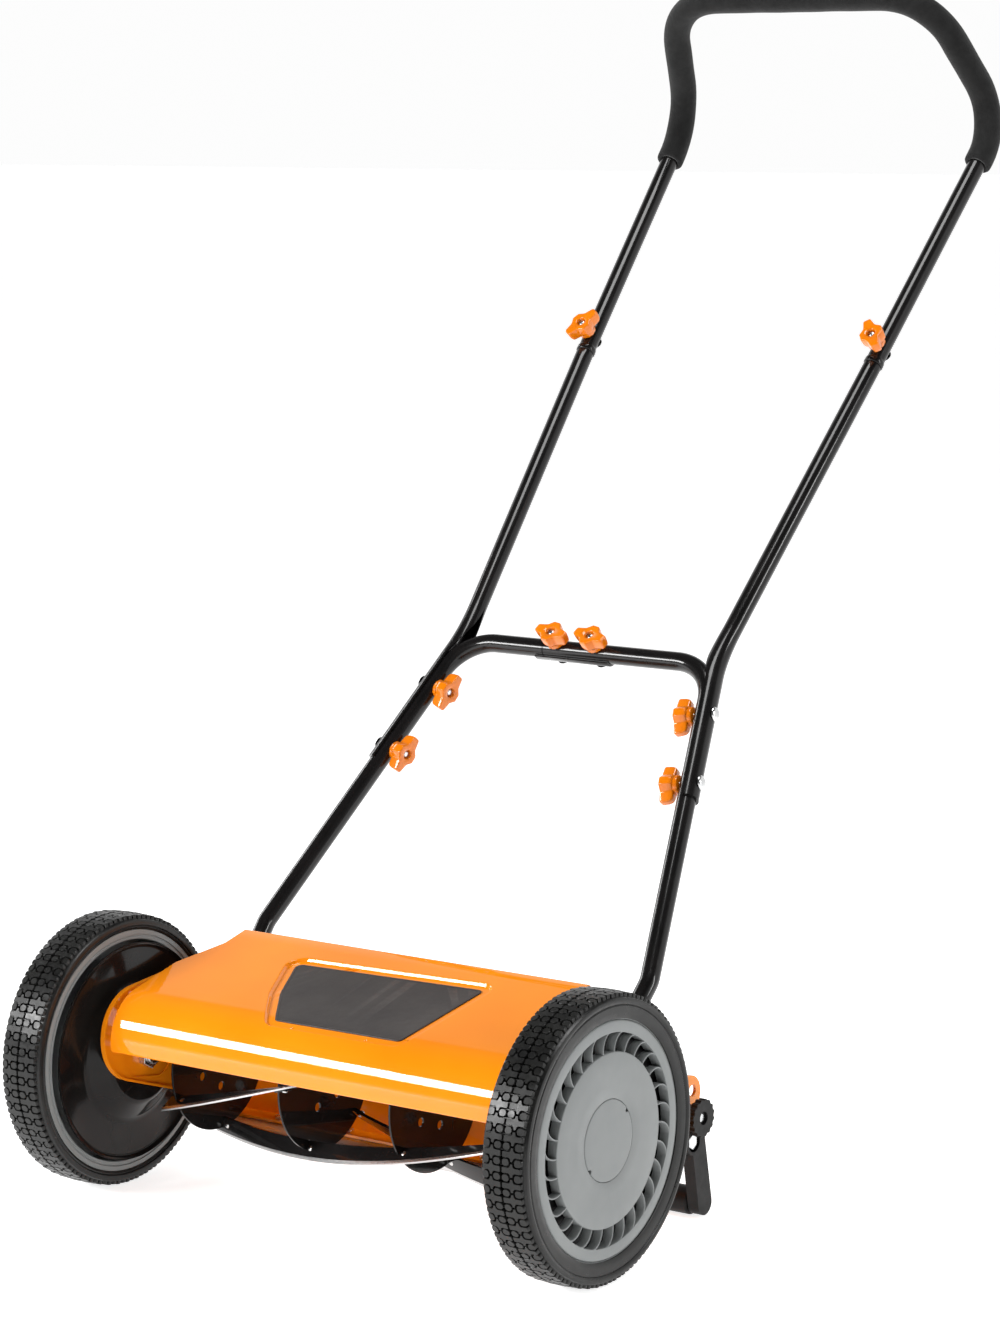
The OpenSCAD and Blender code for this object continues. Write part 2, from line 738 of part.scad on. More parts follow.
// Half of the lower U: flattened eye, leg, corner and its half of the cross bar
module lower_half(stop_x) {
    path = [leg_low, corner, [stop_x, corner[1], corner[2]]];
    difference() {
        union() {
            tube(path, [0, bend_r, 0], tube_r, tube_in);
            along_x(eye[0] - eye_t / 2, eye[0] + eye_t / 2)
                polygon(belt([[eye[1], eye[2], eye_r], [leg_low[1], leg_low[2], 8.4]]));
        }
        rod_x(eye[0] - eye_t, eye[0] + eye_t, [eye[1], eye[2]], eye_bolt_r + run_gap);
        for (p = [side_low, side_high]) bolt_hole(p, leg_out);
    }
}

// Bolt hole through a tube at p, along d
module bolt_hole(p, d) {
    reach = 16;
    rod(p - d * reach, p + d * reach, bolt_r);
}

module cross_bolt_holes() {
    for (x = cross_bolts_x) bolt_hole([x, corner[1], corner[2]], cross_up);
}

module lower_tube_right() {
    color(black_paint) centred() difference() {
        lower_half(-splice_x);
        cross_bolt_holes();
    }
}

module lower_tube_left() {
    color(black_paint) centred() difference() {
        union() {
            mirror([1, 0, 0]) lower_half(splice_x + 1);
            stand([-splice_x - 10, corner[1], corner[2]], [1, 0, 0]) {
                linear_extrude(9) cradle_section(-0.1);
                linear_extrude(splice_x + cradle_end + 10) cradle_section(0.05);
            }
        }
        cross_bolt_holes();
    }
}

// Half ring under the cross bar, on the side away from its knobs, clear of the bar by gap
module cradle_section(gap) {
    rotate(atan2(-cross_up[1], cross_up[2])) difference() {
        circle(tube_r + saddle_t);
        circle(tube_r + gap);
        translate([-60, -30]) square([60, 60]);
    }
}

module middle_half() {
    join = joint + top_dir * 42;
    bore_end = corner + leg_dir * 4;
    block = 350;
    shell_r = tube_r + saddle_t;
    clear_r = tube_r + 0.1;
    plug_r = tube_in - 0.2;
    difference() {
        union() {
            rod(saddle_low, corner + leg_dir * 12, shell_r);
            rod(corner, joint, tube_r);
            rod(joint - top_dir, join, plug_r);
        }
        rod(saddle_low - leg_dir * 5, bore_end, clear_r);
        bar([leg_low, corner, [0, corner[1], corner[2]]], [0, bend_r, 0], clear_r);
        rod(corner + top_dir * 30, joint - top_dir * 6, tube_in);
        rod(joint - top_dir * 7, join + top_dir, plug_r - tube_wall);
        stand(saddle_low - leg_dir * 5, -leg_out) translate([-block / 2, -block / 2, 0])
            cube([block, block, block / 8]);
        for (p = [side_low, side_high]) bolt_hole(p, leg_out);
        bolt_hole(top_knob_at, top_front);
    }
}

module middle_tube(name) {
    color(black_paint) centred() side(name) middle_half();
}

top_knob_at = joint + top_dir * 20;
grip_points = [grip_bend, grip_corner, mirrored(grip_corner), mirrored(grip_bend)];
grip_bends = [0, grip_bend_r, grip_corner_r, grip_corner_r, grip_bend_r, 0];

module upper_tube() {
    swage_r = tube_r + 0.9;
    path = concat([joint], grip_points, [mirrored(joint)]);
    color(black_paint) centred() difference() {
        union() {
            bar(path, grip_bends, tube_r);
            for (s = SIDES) side(s) rod(joint + top_dir * 0.5, joint + top_dir * 6, swage_r);
        }
        bar(path, grip_bends, tube_in);
        for (s = SIDES) side(s) bolt_hole(top_knob_at, top_front);
    }
}

module foam_grip() {
    path = concat([foam_end], grip_points, [mirrored(foam_end)]);
    color([0.1, 0.1, 0.11]) centred() tube(path, grip_bends, foam_r, tube_r + 0.05);
}

// Carriage bolt whose head is at distance back behind p and whose end is ahead of it
module carriage_bolt(p, d, back, ahead) {
    rod(p - d * (back + 1), p + d * ahead, bolt_r);
    rod(p - d * (back + 2.6), p - d * back, bolt_head_r);
}

wing_places = [
    [[cross_bolts_x[0], corner[1], corner[2]], cross_up, "right"],
    [[cross_bolts_x[1], corner[1], corner[2]], cross_up, "right"],
    [side_low, -leg_out, "right"], [side_low, -leg_out, "left"],
    [side_high, -leg_out, "right"], [side_high, -leg_out, "left"],
    [top_knob_at, top_front, "right"], [top_knob_at, top_front, "left"]];

module handle_bolts() {
    backs = [12, 12, 12, 12, 12, 12, 9.2, 9.2];
    color(steel) centred() for (i = [0:7]) side(wing_places[i][2])
        carriage_bolt(wing_places[i][0], wing_places[i][1], backs[i], 25);
}

wing_outline = belt([[-wing_l / 2 + 6, -4, 6], [wing_l / 2 - 6, -7, 6], [wing_l / 2 - 6, 4, 6],
                     [-wing_l / 2 + 6, 7, 6]]);

module wing_knob(i) {
    place = wing_places[i];
    turn = i < 2 ? 20 : 35;
    valley_at = 18;
    color(orange) centred() side(place[2])
        stand(place[0] + place[1] * (tube_r + 0.4), place[1]) rotate(turn) difference() {
            union() {
                cylinder(h = 6, r = wing_collar_r);
                translate([0, 0, 4]) linear_extrude(wing_h - 4) polygon(wing_outline);
            }
            translate([0, 0, -cut]) cylinder(h = wing_h + 2 * cut, r = bolt_r + run_gap);
            translate([0, 0, wing_h - 5]) cylinder(h = 6, r = 5);
            for (a = [90, 270]) rotate(a) translate([valley_at, 0, 3]) cylinder(h = wing_h, r = 9);
        }
}

side_plate("right");  // side_plate_right
side_plate("left");  // side_plate_left
top_cover();
badge_plate();
bed_bar();
bed_knife();
chassis_bolts();
stub_axle("right");  // stub_axle_right
stub_axle("left");  // stub_axle_left
axle_fasteners();
dust_cover("right");  // dust_cover_right
dust_cover("left");  // dust_cover_left
reel_bearings();
handle_pins();
adjuster_pivots();
tyre("right");  // tyre_right
wheel_rim("right");  // wheel_rim_right
ring_gear("right");  // ring_gear_right
hub_bush("right");  // hub_bush_right
hubcap("right");  // hubcap_right
centre_cap("right");  // centre_cap_right
tyre("left");  // tyre_left
wheel_rim("left");  // wheel_rim_left
ring_gear("left");  // ring_gear_left
hub_bush("left");  // hub_bush_left
hubcap("left");  // hubcap_left
centre_cap("left");  // centre_cap_left
reel_shaft();
reel_discs();
reel_blade(1);  // reel_blade_1
reel_blade(2);  // reel_blade_2
reel_blade(3);  // reel_blade_3
reel_blade(4);  // reel_blade_4
reel_blade(5);  // reel_blade_5
pinion("right");  // pinion_right
pinion("left");  // pinion_left
ratchet_pawls();
pinion_clips();
height_bracket("right");  // height_bracket_right
height_bracket("left");  // height_bracket_left
adjuster_bolts();
roller_axle();
roller();
adjuster_knob("right");  // adjuster_knob_right
adjuster_knob("left");  // adjuster_knob_left
lower_tube_right();
lower_tube_left();
middle_tube("right");  // middle_tube_right
middle_tube("left");  // middle_tube_left
upper_tube();
foam_grip();
handle_bolts();
wing_knob(0);  // knob_cross_left
wing_knob(1);  // knob_cross_right
wing_knob(2);  // knob_side_lower_right
wing_knob(3);  // knob_side_lower_left
wing_knob(4);  // knob_side_upper_right
wing_knob(5);  // knob_side_upper_left
wing_knob(6);  // knob_top_right
wing_knob(7);  // knob_top_left
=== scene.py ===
"""Looks of the push reel mower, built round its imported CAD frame. Metres, +Z up, -Y is the front."""

import json
import math

import bmesh
import bpy
from mathutils import Matrix, Vector
from mathutils.geometry import delaunay_2d_cdt


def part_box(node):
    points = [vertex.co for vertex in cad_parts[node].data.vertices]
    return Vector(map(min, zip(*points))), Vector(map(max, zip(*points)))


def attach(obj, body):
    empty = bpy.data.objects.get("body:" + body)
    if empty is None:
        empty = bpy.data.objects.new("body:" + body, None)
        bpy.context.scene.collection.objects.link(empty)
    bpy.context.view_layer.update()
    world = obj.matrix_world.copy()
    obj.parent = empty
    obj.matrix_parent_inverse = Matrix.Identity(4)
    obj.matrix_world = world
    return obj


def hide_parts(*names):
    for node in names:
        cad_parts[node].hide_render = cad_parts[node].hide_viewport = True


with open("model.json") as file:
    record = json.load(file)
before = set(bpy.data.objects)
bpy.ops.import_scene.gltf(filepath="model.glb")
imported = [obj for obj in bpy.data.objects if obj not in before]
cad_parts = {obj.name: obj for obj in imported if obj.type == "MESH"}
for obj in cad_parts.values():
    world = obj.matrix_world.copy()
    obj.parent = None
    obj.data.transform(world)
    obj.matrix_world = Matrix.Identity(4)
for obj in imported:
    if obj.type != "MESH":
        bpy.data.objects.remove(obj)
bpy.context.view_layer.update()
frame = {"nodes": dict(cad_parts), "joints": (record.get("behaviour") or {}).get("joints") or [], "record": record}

MM = 0.001
SIDES = {"right": 1, "left": -1}
JOINTS = {j["name"]: j for j in frame["joints"]}


def joint_place(name):
    return Vector(JOINTS[name]["pos_m"])


def joint_axis(name):
    return Vector(JOINTS[name]["axis"]).normalized()


# ---------------------------------------------------------------- places taken from the frame
WHEEL = joint_place("wheel_right_spin")
REEL = joint_place("reel_spin")
AXLE_Y, AXLE_Z = WHEEL.y, WHEEL.z
WHEEL_R = AXLE_Z
TYRE_LOW, TYRE_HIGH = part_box("tyre_right")
CAP_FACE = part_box("hubcap_right")[1].x
AXLE = Vector((0, AXLE_Y, AXLE_Z))


def place(x, y, z):
    """A point of the mower, given in millimetres from the wheel axle's plane and the ground."""
    return Vector((x * MM, y * MM + AXLE_Y, z * MM))


def flip(p):
    return Vector((-p.x, p.y, p.z))


def metres(outline):
    """The points of an outline given in millimetres."""
    return [(a * MM, b * MM) for a, b in outline]


# ---------------------------------------------------------------- mesh helpers
def new_piece(name, verts, faces, material, smooth=True):
    mesh = bpy.data.meshes.new(name)
    mesh.from_pydata([tuple(v) for v in verts], [], faces)
    mesh.validate()
    mesh.update()
    if smooth:
        mesh.shade_smooth()
    piece = bpy.data.objects.new(name, mesh)
    bpy.context.scene.collection.objects.link(piece)
    for m in material if isinstance(material, list) else [material]:
        mesh.materials.append(m)
    return piece


class Shape:
    """Collects vertices and faces of several closed shells for one piece."""

    def __init__(self):
        self.verts, self.faces, self.slots = [], [], []

    def add(self, verts, faces, slot=0):
        base = len(self.verts)
        self.verts += [Vector(v) for v in verts]
        self.faces += [[base + i for i in f] for f in faces]
        self.slots += [slot] * len(faces)

    def loops(self, rings, closed=False, caps=True, slot=0):
        """Skins a list of rings that have the same number of points."""
        n, m = len(rings[0]), len(rings)
        faces = []
        for i in range(m if closed else m - 1):
            a, b = i * n, ((i + 1) % m) * n
            faces += [[a + j, a + (j + 1) % n, b + (j + 1) % n, b + j] for j in range(n)]
        if caps and not closed:
            faces += [list(range(n))[::-1], [(m - 1) * n + j for j in range(n)]]
        self.add([p for r in rings for p in r], faces, slot)

    def mirrored(self):
        out = Shape()
        out.verts = [flip(v) for v in self.verts]
        out.faces = [f[::-1] for f in self.faces]
        out.slots = list(self.slots)
        return out

    def piece(self, name, material, slot, body, replaced=(), smooth=True, sharp=None, bevel=None):
        obj = new_piece(name, self.verts, self.faces, material, smooth)
        obj.data.polygons.foreach_set("material_index", self.slots)
        if bevel:
            width, limit = bevel
            soft = obj.modifiers.new("edges", "BEVEL")
            soft.width, soft.segments = width, 3
            soft.limit_method, soft.angle_limit = "ANGLE", math.radians(limit)
            soft.harden_normals = True
        elif sharp:
            obj.data.set_sharp_from_angle(angle=math.radians(sharp))
        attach(obj, body)
        if replaced:
            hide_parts(*replaced)
        return obj


def axis_frame(d):
    z = Vector(d).normalized()
    x = Vector((0, 1, 0)) if abs(z.x) > 0.9 else Vector((1, 0, 0))
    x = x.cross(z).normalized()
    return x, z.cross(x), z


def lathe(shape, centre, profile, steps=128, axis=(1, 0, 0), slot=0):
    """Turns a closed profile of (radius, distance along axis) about the axis through centre."""
    x, y, z = axis_frame(axis)
    rings = []
    for k in range(steps):
        a = 2 * math.pi * k / steps
        out = x * math.cos(a) + y * math.sin(a)
        rings.append([centre + out * r + z * h for r, h in profile])
    shape.loops(rings, closed=True, slot=slot)


def solid_lathe(shape, centre, profile, steps=64, axis=(0, 0, 1), slot=0):
    """Turns an open profile that starts and ends near the axis, and closes it with end caps."""
    x, y, z = axis_frame(axis)
    rings = [[centre + z * h + (x * math.cos(2 * math.pi * k / steps)
                                + y * math.sin(2 * math.pi * k / steps)) * r
              for k in range(steps)] for r, h in profile]
    shape.loops(rings, slot=slot)


def rounded(points, radius, steps=4):
    """Rounds every corner of a closed 2-D outline."""
    out, n = [], len(points)
    for i in range(n):
        a, b, c = (Vector(points[(i + k) % n]) for k in (-1, 0, 1))
        u, v = (a - b), (c - b)
        r = radius[i] if isinstance(radius, (list, tuple)) else radius
        turn = math.pi - u.angle(v)
        if r <= 0 or turn < 0.02:
            out.append(tuple(b))
            continue
        cut = min(r * math.tan(turn / 2), u.length * 0.48, v.length * 0.48)
        r = cut / math.tan(turn / 2)
        p, q = b + u.normalized() * cut, b + v.normalized() * cut
        mid = b + (u.normalized() + v.normalized()).normalized() * (r / math.cos(turn / 2))
        for k in range(steps + 1):
            t = k / steps
            d = (p - mid).lerp(q - mid, t)
            out.append(tuple(mid + d.normalized() * r))
    return out


def route(points, radii, step=0.004):
    """Points along straight runs joined by round bends."""
    out = [points[0].copy()]
    for i in range(1, len(points) - 1):
        a, b, c = points[i - 1], points[i], points[i + 1]
        u, v = (b - a).normalized(), (c - b).normalized()
        turn = u.angle(v)
        cut = radii[i] * math.tan(turn / 2)
        start = b - u * cut
        centre = b + (v - u).normalized() * (radii[i] / math.cos(turn / 2))
        steps = max(6, int(radii[i] * turn / step))
        first = out[-1]
        runs = max(1, int((start - first).length / 0.03))
        out += [first.lerp(start, k / runs) for k in range(1, runs)]
        x = (start - centre).normalized()
        for k in range(steps + 1):
            t = turn * k / steps
            out.append(centre + (x * math.cos(t) + u * math.sin(t)) * radii[i])
    first = out[-1]
    runs = max(1, int((points[-1] - first).length / 0.03))
    out += [first.lerp(points[-1], k / runs) for k in range(1, runs + 1)]
    return out


def frames(path, first=None):
    """Directions along a path, with cross axes carried along without twist."""
    n = len(path)
    along = [(path[min(i + 1, n - 1)] - path[max(i - 1, 0)]).normalized() for i in range(n)]
    x = first or axis_frame(along[0])[0]
    out = []
    for t in along:
        x = (x - t * x.dot(t)).normalized()
        out.append((x, t.cross(x), t))
    return out


def pipe(shape, path, outer, inner=None, sides=40, slot=0):
    """A tube along a path. outer may be a number or one radius for each point; inner is the bore."""
    axes = frames(path)
    radii = outer if isinstance(outer, (list, tuple)) else [outer] * len(path)

    def ring(p, axis, r):
        return [p + (axis[0] * math.cos(2 * math.pi * k / sides)
                     + axis[1] * math.sin(2 * math.pi * k / sides)) * r for k in range(sides)]

    rings = [ring(p, a, r) for p, a, r in zip(path, axes, radii)]
    if inner is None:
        shape.loops(rings, slot=slot)
        return
    bores = inner if isinstance(inner, (list, tuple)) else [inner] * len(path)
    rings += [ring(p, a, r) for p, a, r in zip(path[::-1], axes[::-1], bores[::-1])]
    shape.loops(rings, closed=True, slot=slot)


# ---------------------------------------------------------------- materials
class Nodes:
    def __init__(self, name):
        self.material = bpy.data.materials.new(name)
        self.material.use_nodes = True
        self.tree = self.material.node_tree
        self.shader = self.tree.nodes["Principled BSDF"]
        self.coords = self.tree.nodes.new("ShaderNodeTexCoord").outputs["Object"]

    def set(self, **values):
        for key, value in values.items():
            self.shader.inputs[key.replace("_", " ")].default_value = value
        return self

    def node(self, kind, **inputs):
        made = self.tree.nodes.new(kind)
        for key, value in inputs.items():
            target = made.inputs[key.replace("_", " ")]
            if isinstance(value, bpy.types.NodeSocket):
                self.tree.links.new(value, target)
            else:
                target.default_value = value
        return made

    def stretched(self, scale):
        made = self.node("ShaderNodeMapping", Vector=self.coords)
        made.inputs["Scale"].default_value = scale
        return made.outputs["Vector"]

    def noise(self, scale, detail=3.0, rough=0.5, vector=None):
        made = self.node("ShaderNodeTexNoise", Vector=vector or self.coords,
                         Scale=scale, Detail=detail, Roughness=rough)
        return made.outputs["Fac"]

    def ramp(self, fac, stops):
        made = self.node("ShaderNodeValToRGB", Fac=fac)
        elements = made.color_ramp.elements
        for i, (at, colour) in enumerate(stops):
            e = elements[i] if i < 2 else elements.new(at)
            e.position, e.color = at, (*colour, 1.0)
        return made.outputs["Color"]

    def link(self, source, name):
        self.tree.links.new(source, self.shader.inputs[name])

    def colour(self, fac, low, high, start=0.3, end=0.7):
        self.link(self.ramp(fac, [(start, low), (end, high)]), "Base Color")

    def rough(self, fac, low, high):
        self.link(self.ramp(fac, [(0.3, (low,) * 3), (0.7, (high,) * 3)]), "Roughness")

    def bump(self, height, strength, distance, before=None):
        made = self.node("ShaderNodeBump", Height=height, Strength=strength, Distance=distance)
        if before is not None:
            self.tree.links.new(before, made.inputs["Normal"])
        self.link(made.outputs["Normal"], "Normal")
        return made.outputs["Normal"]


def orange_paint():
    m = Nodes("orange_paint").set(Coat_Weight=1.0, Coat_Roughness=0.02, Coat_IOR=1.5, IOR=1.45,
                                  Specular_IOR_Level=0.0)
    m.colour(m.noise(9.0, 2.0), (0.86, 0.235, 0.004), (0.93, 0.275, 0.006))
    m.rough(m.noise(60.0), 0.30, 0.38)
    m.bump(m.noise(7.0, 1.0), 0.25, 0.001)
    return m.material


def orange_plastic():
    m = Nodes("orange_plastic").set(IOR=1.5, Coat_Weight=1.0, Coat_Roughness=0.05, Specular_IOR_Level=0.04)
    m.colour(m.noise(40.0), (0.70, 0.165, 0.002), (0.80, 0.20, 0.003))
    m.rough(m.noise(220.0), 0.24, 0.34)
    m.bump(m.noise(900.0, 2.0), 0.05, 0.0001)
    return m.material


def badge_plastic():
    m = Nodes("badge_plastic").set(IOR=1.45)
    m.colour(m.noise(30.0), (0.032, 0.027, 0.026), (0.044, 0.038, 0.035))
    m.rough(m.noise(120.0), 0.42, 0.55)
    m.bump(m.noise(1600.0, 2.0), 0.12, 0.0001)
    return m.material


def gloss_black():
    m = Nodes("gloss_black").set(IOR=1.5, Coat_Weight=0.12, Coat_Roughness=0.03, Specular_IOR_Level=0.12)
    m.colour(m.noise(14.0), (0.006, 0.005, 0.005), (0.011, 0.010, 0.009))
    m.rough(m.noise(35.0), 0.10, 0.18)
    m.bump(m.noise(55.0, 1.0), 0.04, 0.0004)
    return m.material


def black_enamel():
    m = Nodes("black_enamel").set(IOR=1.5, Coat_Weight=0.5, Coat_Roughness=0.05, Specular_IOR_Level=0.12)
    m.colour(m.noise(22.0), (0.005, 0.005, 0.005), (0.009, 0.008, 0.008))
    m.rough(m.noise(80.0), 0.18, 0.28)
    m.bump(m.noise(600.0, 1.0), 0.05, 0.00015)
    return m.material


def black_plastic():
    m = Nodes("black_plastic").set(IOR=1.46, Specular_IOR_Level=0.22)
    m.colour(m.noise(50.0), (0.005, 0.005, 0.005), (0.010, 0.009, 0.009))
    m.rough(m.noise(160.0), 0.38, 0.52)
    m.bump(m.noise(1300.0, 3.0), 0.22, 0.00015)
    return m.material


def grey_plastic():
    m = Nodes("grey_plastic").set(IOR=1.45)
    m.colour(m.noise(16.0, 4.0), (0.205, 0.216, 0.216), (0.234, 0.245, 0.243))
    m.rough(m.noise(90.0), 0.40, 0.52)
    m.bump(m.noise(1500.0, 2.0), 0.10, 0.0001)
    return m.material


def tyre_rubber():
    m = Nodes("tyre_rubber").set(IOR=1.5, Specular_IOR_Level=0.3)
    m.colour(m.noise(45.0, 5.0, 0.6), (0.006, 0.006, 0.006), (0.013, 0.013, 0.012), 0.32, 0.72)
    m.rough(m.noise(130.0, 4.0), 0.26, 0.40)
    m.bump(m.noise(900.0, 4.0, 0.65), 0.15, 0.0002)
    return m.material


def grip_foam():
    m = Nodes("grip_foam").set(IOR=1.4, Sheen_Weight=0.12, Sheen_Roughness=0.5, Specular_IOR_Level=0.2)
    cells = m.node("ShaderNodeTexVoronoi", Vector=m.coords, Scale=900.0).outputs["Distance"]
    m.colour(m.noise(60.0, 4.0), (0.006, 0.006, 0.006), (0.012, 0.012, 0.012))
    m.rough(m.noise(200.0), 0.72, 0.9)
    fine = m.bump(cells, 0.5, 0.0004)
    m.bump(m.noise(110.0, 3.0), 0.18, 0.0008, before=fine)
    return m.material


def zinc_steel():
    m = Nodes("zinc_steel").set(Metallic=1.0)
    m.colour(m.noise(70.0, 3.0), (0.60, 0.61, 0.62), (0.76, 0.76, 0.75))
    m.rough(m.noise(240.0), 0.18, 0.34)
    m.bump(m.noise(1100.0, 2.0), 0.12, 0.0001)
    return m.material


def ground_steel():
    m = Nodes("ground_steel").set(Metallic=1.0)
    lines = m.noise(1.0, 4.0, 0.6, m.stretched((40.0, 2400.0, 2400.0)))
    m.colour(lines, (0.50, 0.50, 0.51), (0.72, 0.72, 0.71))
    m.rough(lines, 0.22, 0.42)
    m.bump(lines, 0.25, 0.0001)
    return m.material


def bronze():
    m = Nodes("bronze").set(Metallic=1.0)
    m.colour(m.noise(90.0), (0.42, 0.27, 0.11), (0.60, 0.42, 0.19))
    m.rough(m.noise(300.0), 0.35, 0.5)
    m.bump(m.noise(1400.0, 2.0), 0.2, 0.0001)
    return m.material


def floor_paper():
    m = Nodes("floor_paper").set(Roughness=0.9, IOR=1.3)
    m.colour(m.noise(3.0), (0.84, 0.84, 0.84), (0.86, 0.86, 0.86))
    m.set(Emission_Color=(1.0, 1.0, 1.0, 1.0), Emission_Strength=0.8)
    return m.material


MATERIAL = {f.__name__: f() for f in (
    orange_paint, orange_plastic, badge_plastic, gloss_black, black_enamel, black_plastic, grey_plastic,
    tyre_rubber, grip_foam, zinc_steel, ground_steel, bronze)}

# Every CAD node gets the finish of its slot in the record
for part in frame["record"]["subparts"]:
    node = frame["nodes"][part["node"]]
    node.data.materials.clear()
    node.data.materials.append(MATERIAL[part["material_slot"]])


# ---------------------------------------------------------------- tyres
LUG_ROWS = 60
LUG_TOP = WHEEL_R
TREAD_FLOOR = WHEEL_R - 4.2 * MM
TYRE_MID = (TYRE_LOW.x + TYRE_HIGH.x) / 2
BEAD_R, LIP_R = 112.7, 104.2
# Upper half of the tread block's outline, as distance from the tread's middle and along it
HALF_BLOCK = [(0.8, 2.5), (7.4, 2.5), (8.9, 4.0), (9.1, 6.0), (11.4, 6.0), (11.7, 4.0), (13.2, 2.3),
              (19.2, 2.3)]
TREAD_CROWN, BLOCK_AT = 0.045, 10 * MM


def stadium(width, length, corner, steps=5):
    """Rounded rectangle outline, as (across, along) pairs."""
    w, h = width / 2, length / 2
    return rounded([(-w, -h), (w, -h), (w, h), (-w, h)], corner, steps)


def tyre_lug(shape, outline, across, angle, top, tilt=0.0):
    """One tread block: an outline in the tread surface, raised from the tread floor to radius top."""
    levels = ((TREAD_FLOOR - 1.5 * MM, 0.6), (top - 0.4 * MM, 0.0), (top, -0.3))
    rings = []
    for radius, grow in levels:
        ring = []
        for x, s in outline:
            size = math.hypot(x, s) or 1.0
            k = (size + grow * MM) / size
            a = angle + s * k / WHEEL_R
            r = radius + tilt * x * k
            ring.append(Vector((across + x * k, AXLE_Y + r * math.cos(a), AXLE_Z + r * math.sin(a))))
        rings.append(ring)
    shape.loops(rings)


def treaded_tyre():
    """Body of the tyre, with ribbed walls and a lip over the drum, and its rows of lugs."""
    shape = Shape()
    floor = TREAD_FLOOR / MM
    inside = [(BEAD_R, -21.2), (BEAD_R + 2.2, -22.4), (BEAD_R + 3.4, -21.6), (BEAD_R + 4.4, -22.6),
              (119.5, -23.0), (121.6, -22.4), (122.6, -20.6), (floor, -17.5)]
    outside = [(BEAD_R, 19.62), (LIP_R, 19.62), (LIP_R, 20.6), (LIP_R + 1, 21.2), (110, 21.9),
               (BEAD_R + 2.2, 22.2), (BEAD_R + 3.4, 21.4), (BEAD_R + 4.4, 22.4),
               (119.5, 23.0), (121.6, 22.4), (122.6, 20.6), (floor, 17.5)]
    lathe(shape, Vector((TYRE_MID, AXLE_Y, AXLE_Z)), metres(inside + outside[::-1]), steps=160)
    turned_back = [(x, -along) for x, along in HALF_BLOCK[::-1]]
    block = [(x * MM - BLOCK_AT, along * MM) for x, along in rounded(HALF_BLOCK + turned_back, 0.8, 2)]
    oval = stadium(7.2 * MM, 6.2 * MM, 2.8 * MM, 4)
    edge = stadium(6.8 * MM, 6.6 * MM, 2.4 * MM, 4)
    # Outline, distance from the middle, place along a pitch, depth below the top, fall towards the edge
    lugs = ((block, BLOCK_AT, 0.0, 0.42 * MM, TREAD_CROWN), (oval, 4.4 * MM, 0.5, 0.1 * MM, 0.0),
            (edge, 16.3 * MM, 0.5, 1.0 * MM, 0.12))
    for k in range(LUG_ROWS):
        for sign in (-1, 1):
            for outline, across, along, below, fall in lugs:
                turned = [(sign * x, y) for x, y in outline][::sign]
                angle = 2 * math.pi * (k + along) / LUG_ROWS
                tyre_lug(shape, turned, TYRE_MID + sign * across, angle, LUG_TOP - below, -fall * sign)
    return shape


# ---------------------------------------------------------------- wheels
FIN_COUNT, FIN_SWEEP = 30, 0.14
DISC_R, FIN_OUT_R, RING_R, CAP_GAP_R = 76.0, 92.5, 103.2, 35.9
STUD_FROM, STUD_R, STUD_CIRCLE_R = 280 * MM, 4 * MM, 60 * MM


def make_pair(name, build, finish, body, replaced, **how):
    """Makes a piece for the right side and its mirror image for the left. {} in body is the side."""
    made = build()
    materials = [MATERIAL[f] for f in finish]
    for side, sign in SIDES.items():
        shape = made if sign > 0 else made.mirrored()
        shape.piece(f"{name}_{side}", materials, finish[0], body.format(side), [f"{replaced}_{side}"], **how)


def wheel_drum():
    """Web and the band that carries the tyre; the deep side behind the hubcap gets a black finish as painted
    shade, for the shadow that falls behind the fins.
    """
    shape = Shape()
    # The drum's deep inner wall and web behind the fins: these faces get black plastic as painted shade
    deep = [(103.5, 290.1), (103.5, 280), (18, 280), (17, 284)]
    profile = [(11, 252), (17, 252), (18.5, 276), (102.5, 276), (103.5, 274), (103.5, 250.2),
               (104.2, 249.5), (106.2, 249.5), (106.7, 250.4), (107.9, 250.4), (108.4, 249.5),
               (112.2, 249.5), (112.7, 250.0), (112.7, 290.1), (112.3, 290.5), (103.9, 290.5), *deep,
               (11, 284)]
    lathe(shape, AXLE, metres(profile), steps=160)
    first, count = profile.index(deep[0]), len(profile)
    # Slot 1, black plastic, is painted shade on the deep side's faces
    shape.slots = [1 if first <= k % count < first + len(deep) - 1 else 0 for k in range(len(shape.faces))]
    return shape


def turbine_fin(shape, start):
    """One curved vane between the disc and the outer ring of the hubcap."""
    rows, half = 9, 0.65
    section = ((-1, -9), (1, -9), (1, -0.75), (0.55, -0.45), (-0.55, -0.45), (-1, -0.75))
    points = []
    for i in range(rows + 1):
        t = i / rows * math.pi / 2
        r = DISC_R - 0.8 + (FIN_OUT_R - DISC_R + 1.4) * math.sin(t)
        a = start - FIN_SWEEP * (1 - math.cos(t))
        points.append(Vector((r * math.cos(a), r * math.sin(a))))
    rings = []
    for i, p in enumerate(points):
        t = (points[min(i + 1, rows)] - points[max(i - 1, 0)]).normalized()
        n = Vector((-t.y, t.x))
        spots = [(p + n * off * half, depth) for off, depth in section]
        rings.append([AXLE + Vector((CAP_FACE + depth * MM, q.x * MM, q.y * MM)) for q, depth in spots])
    shape.loops(rings)


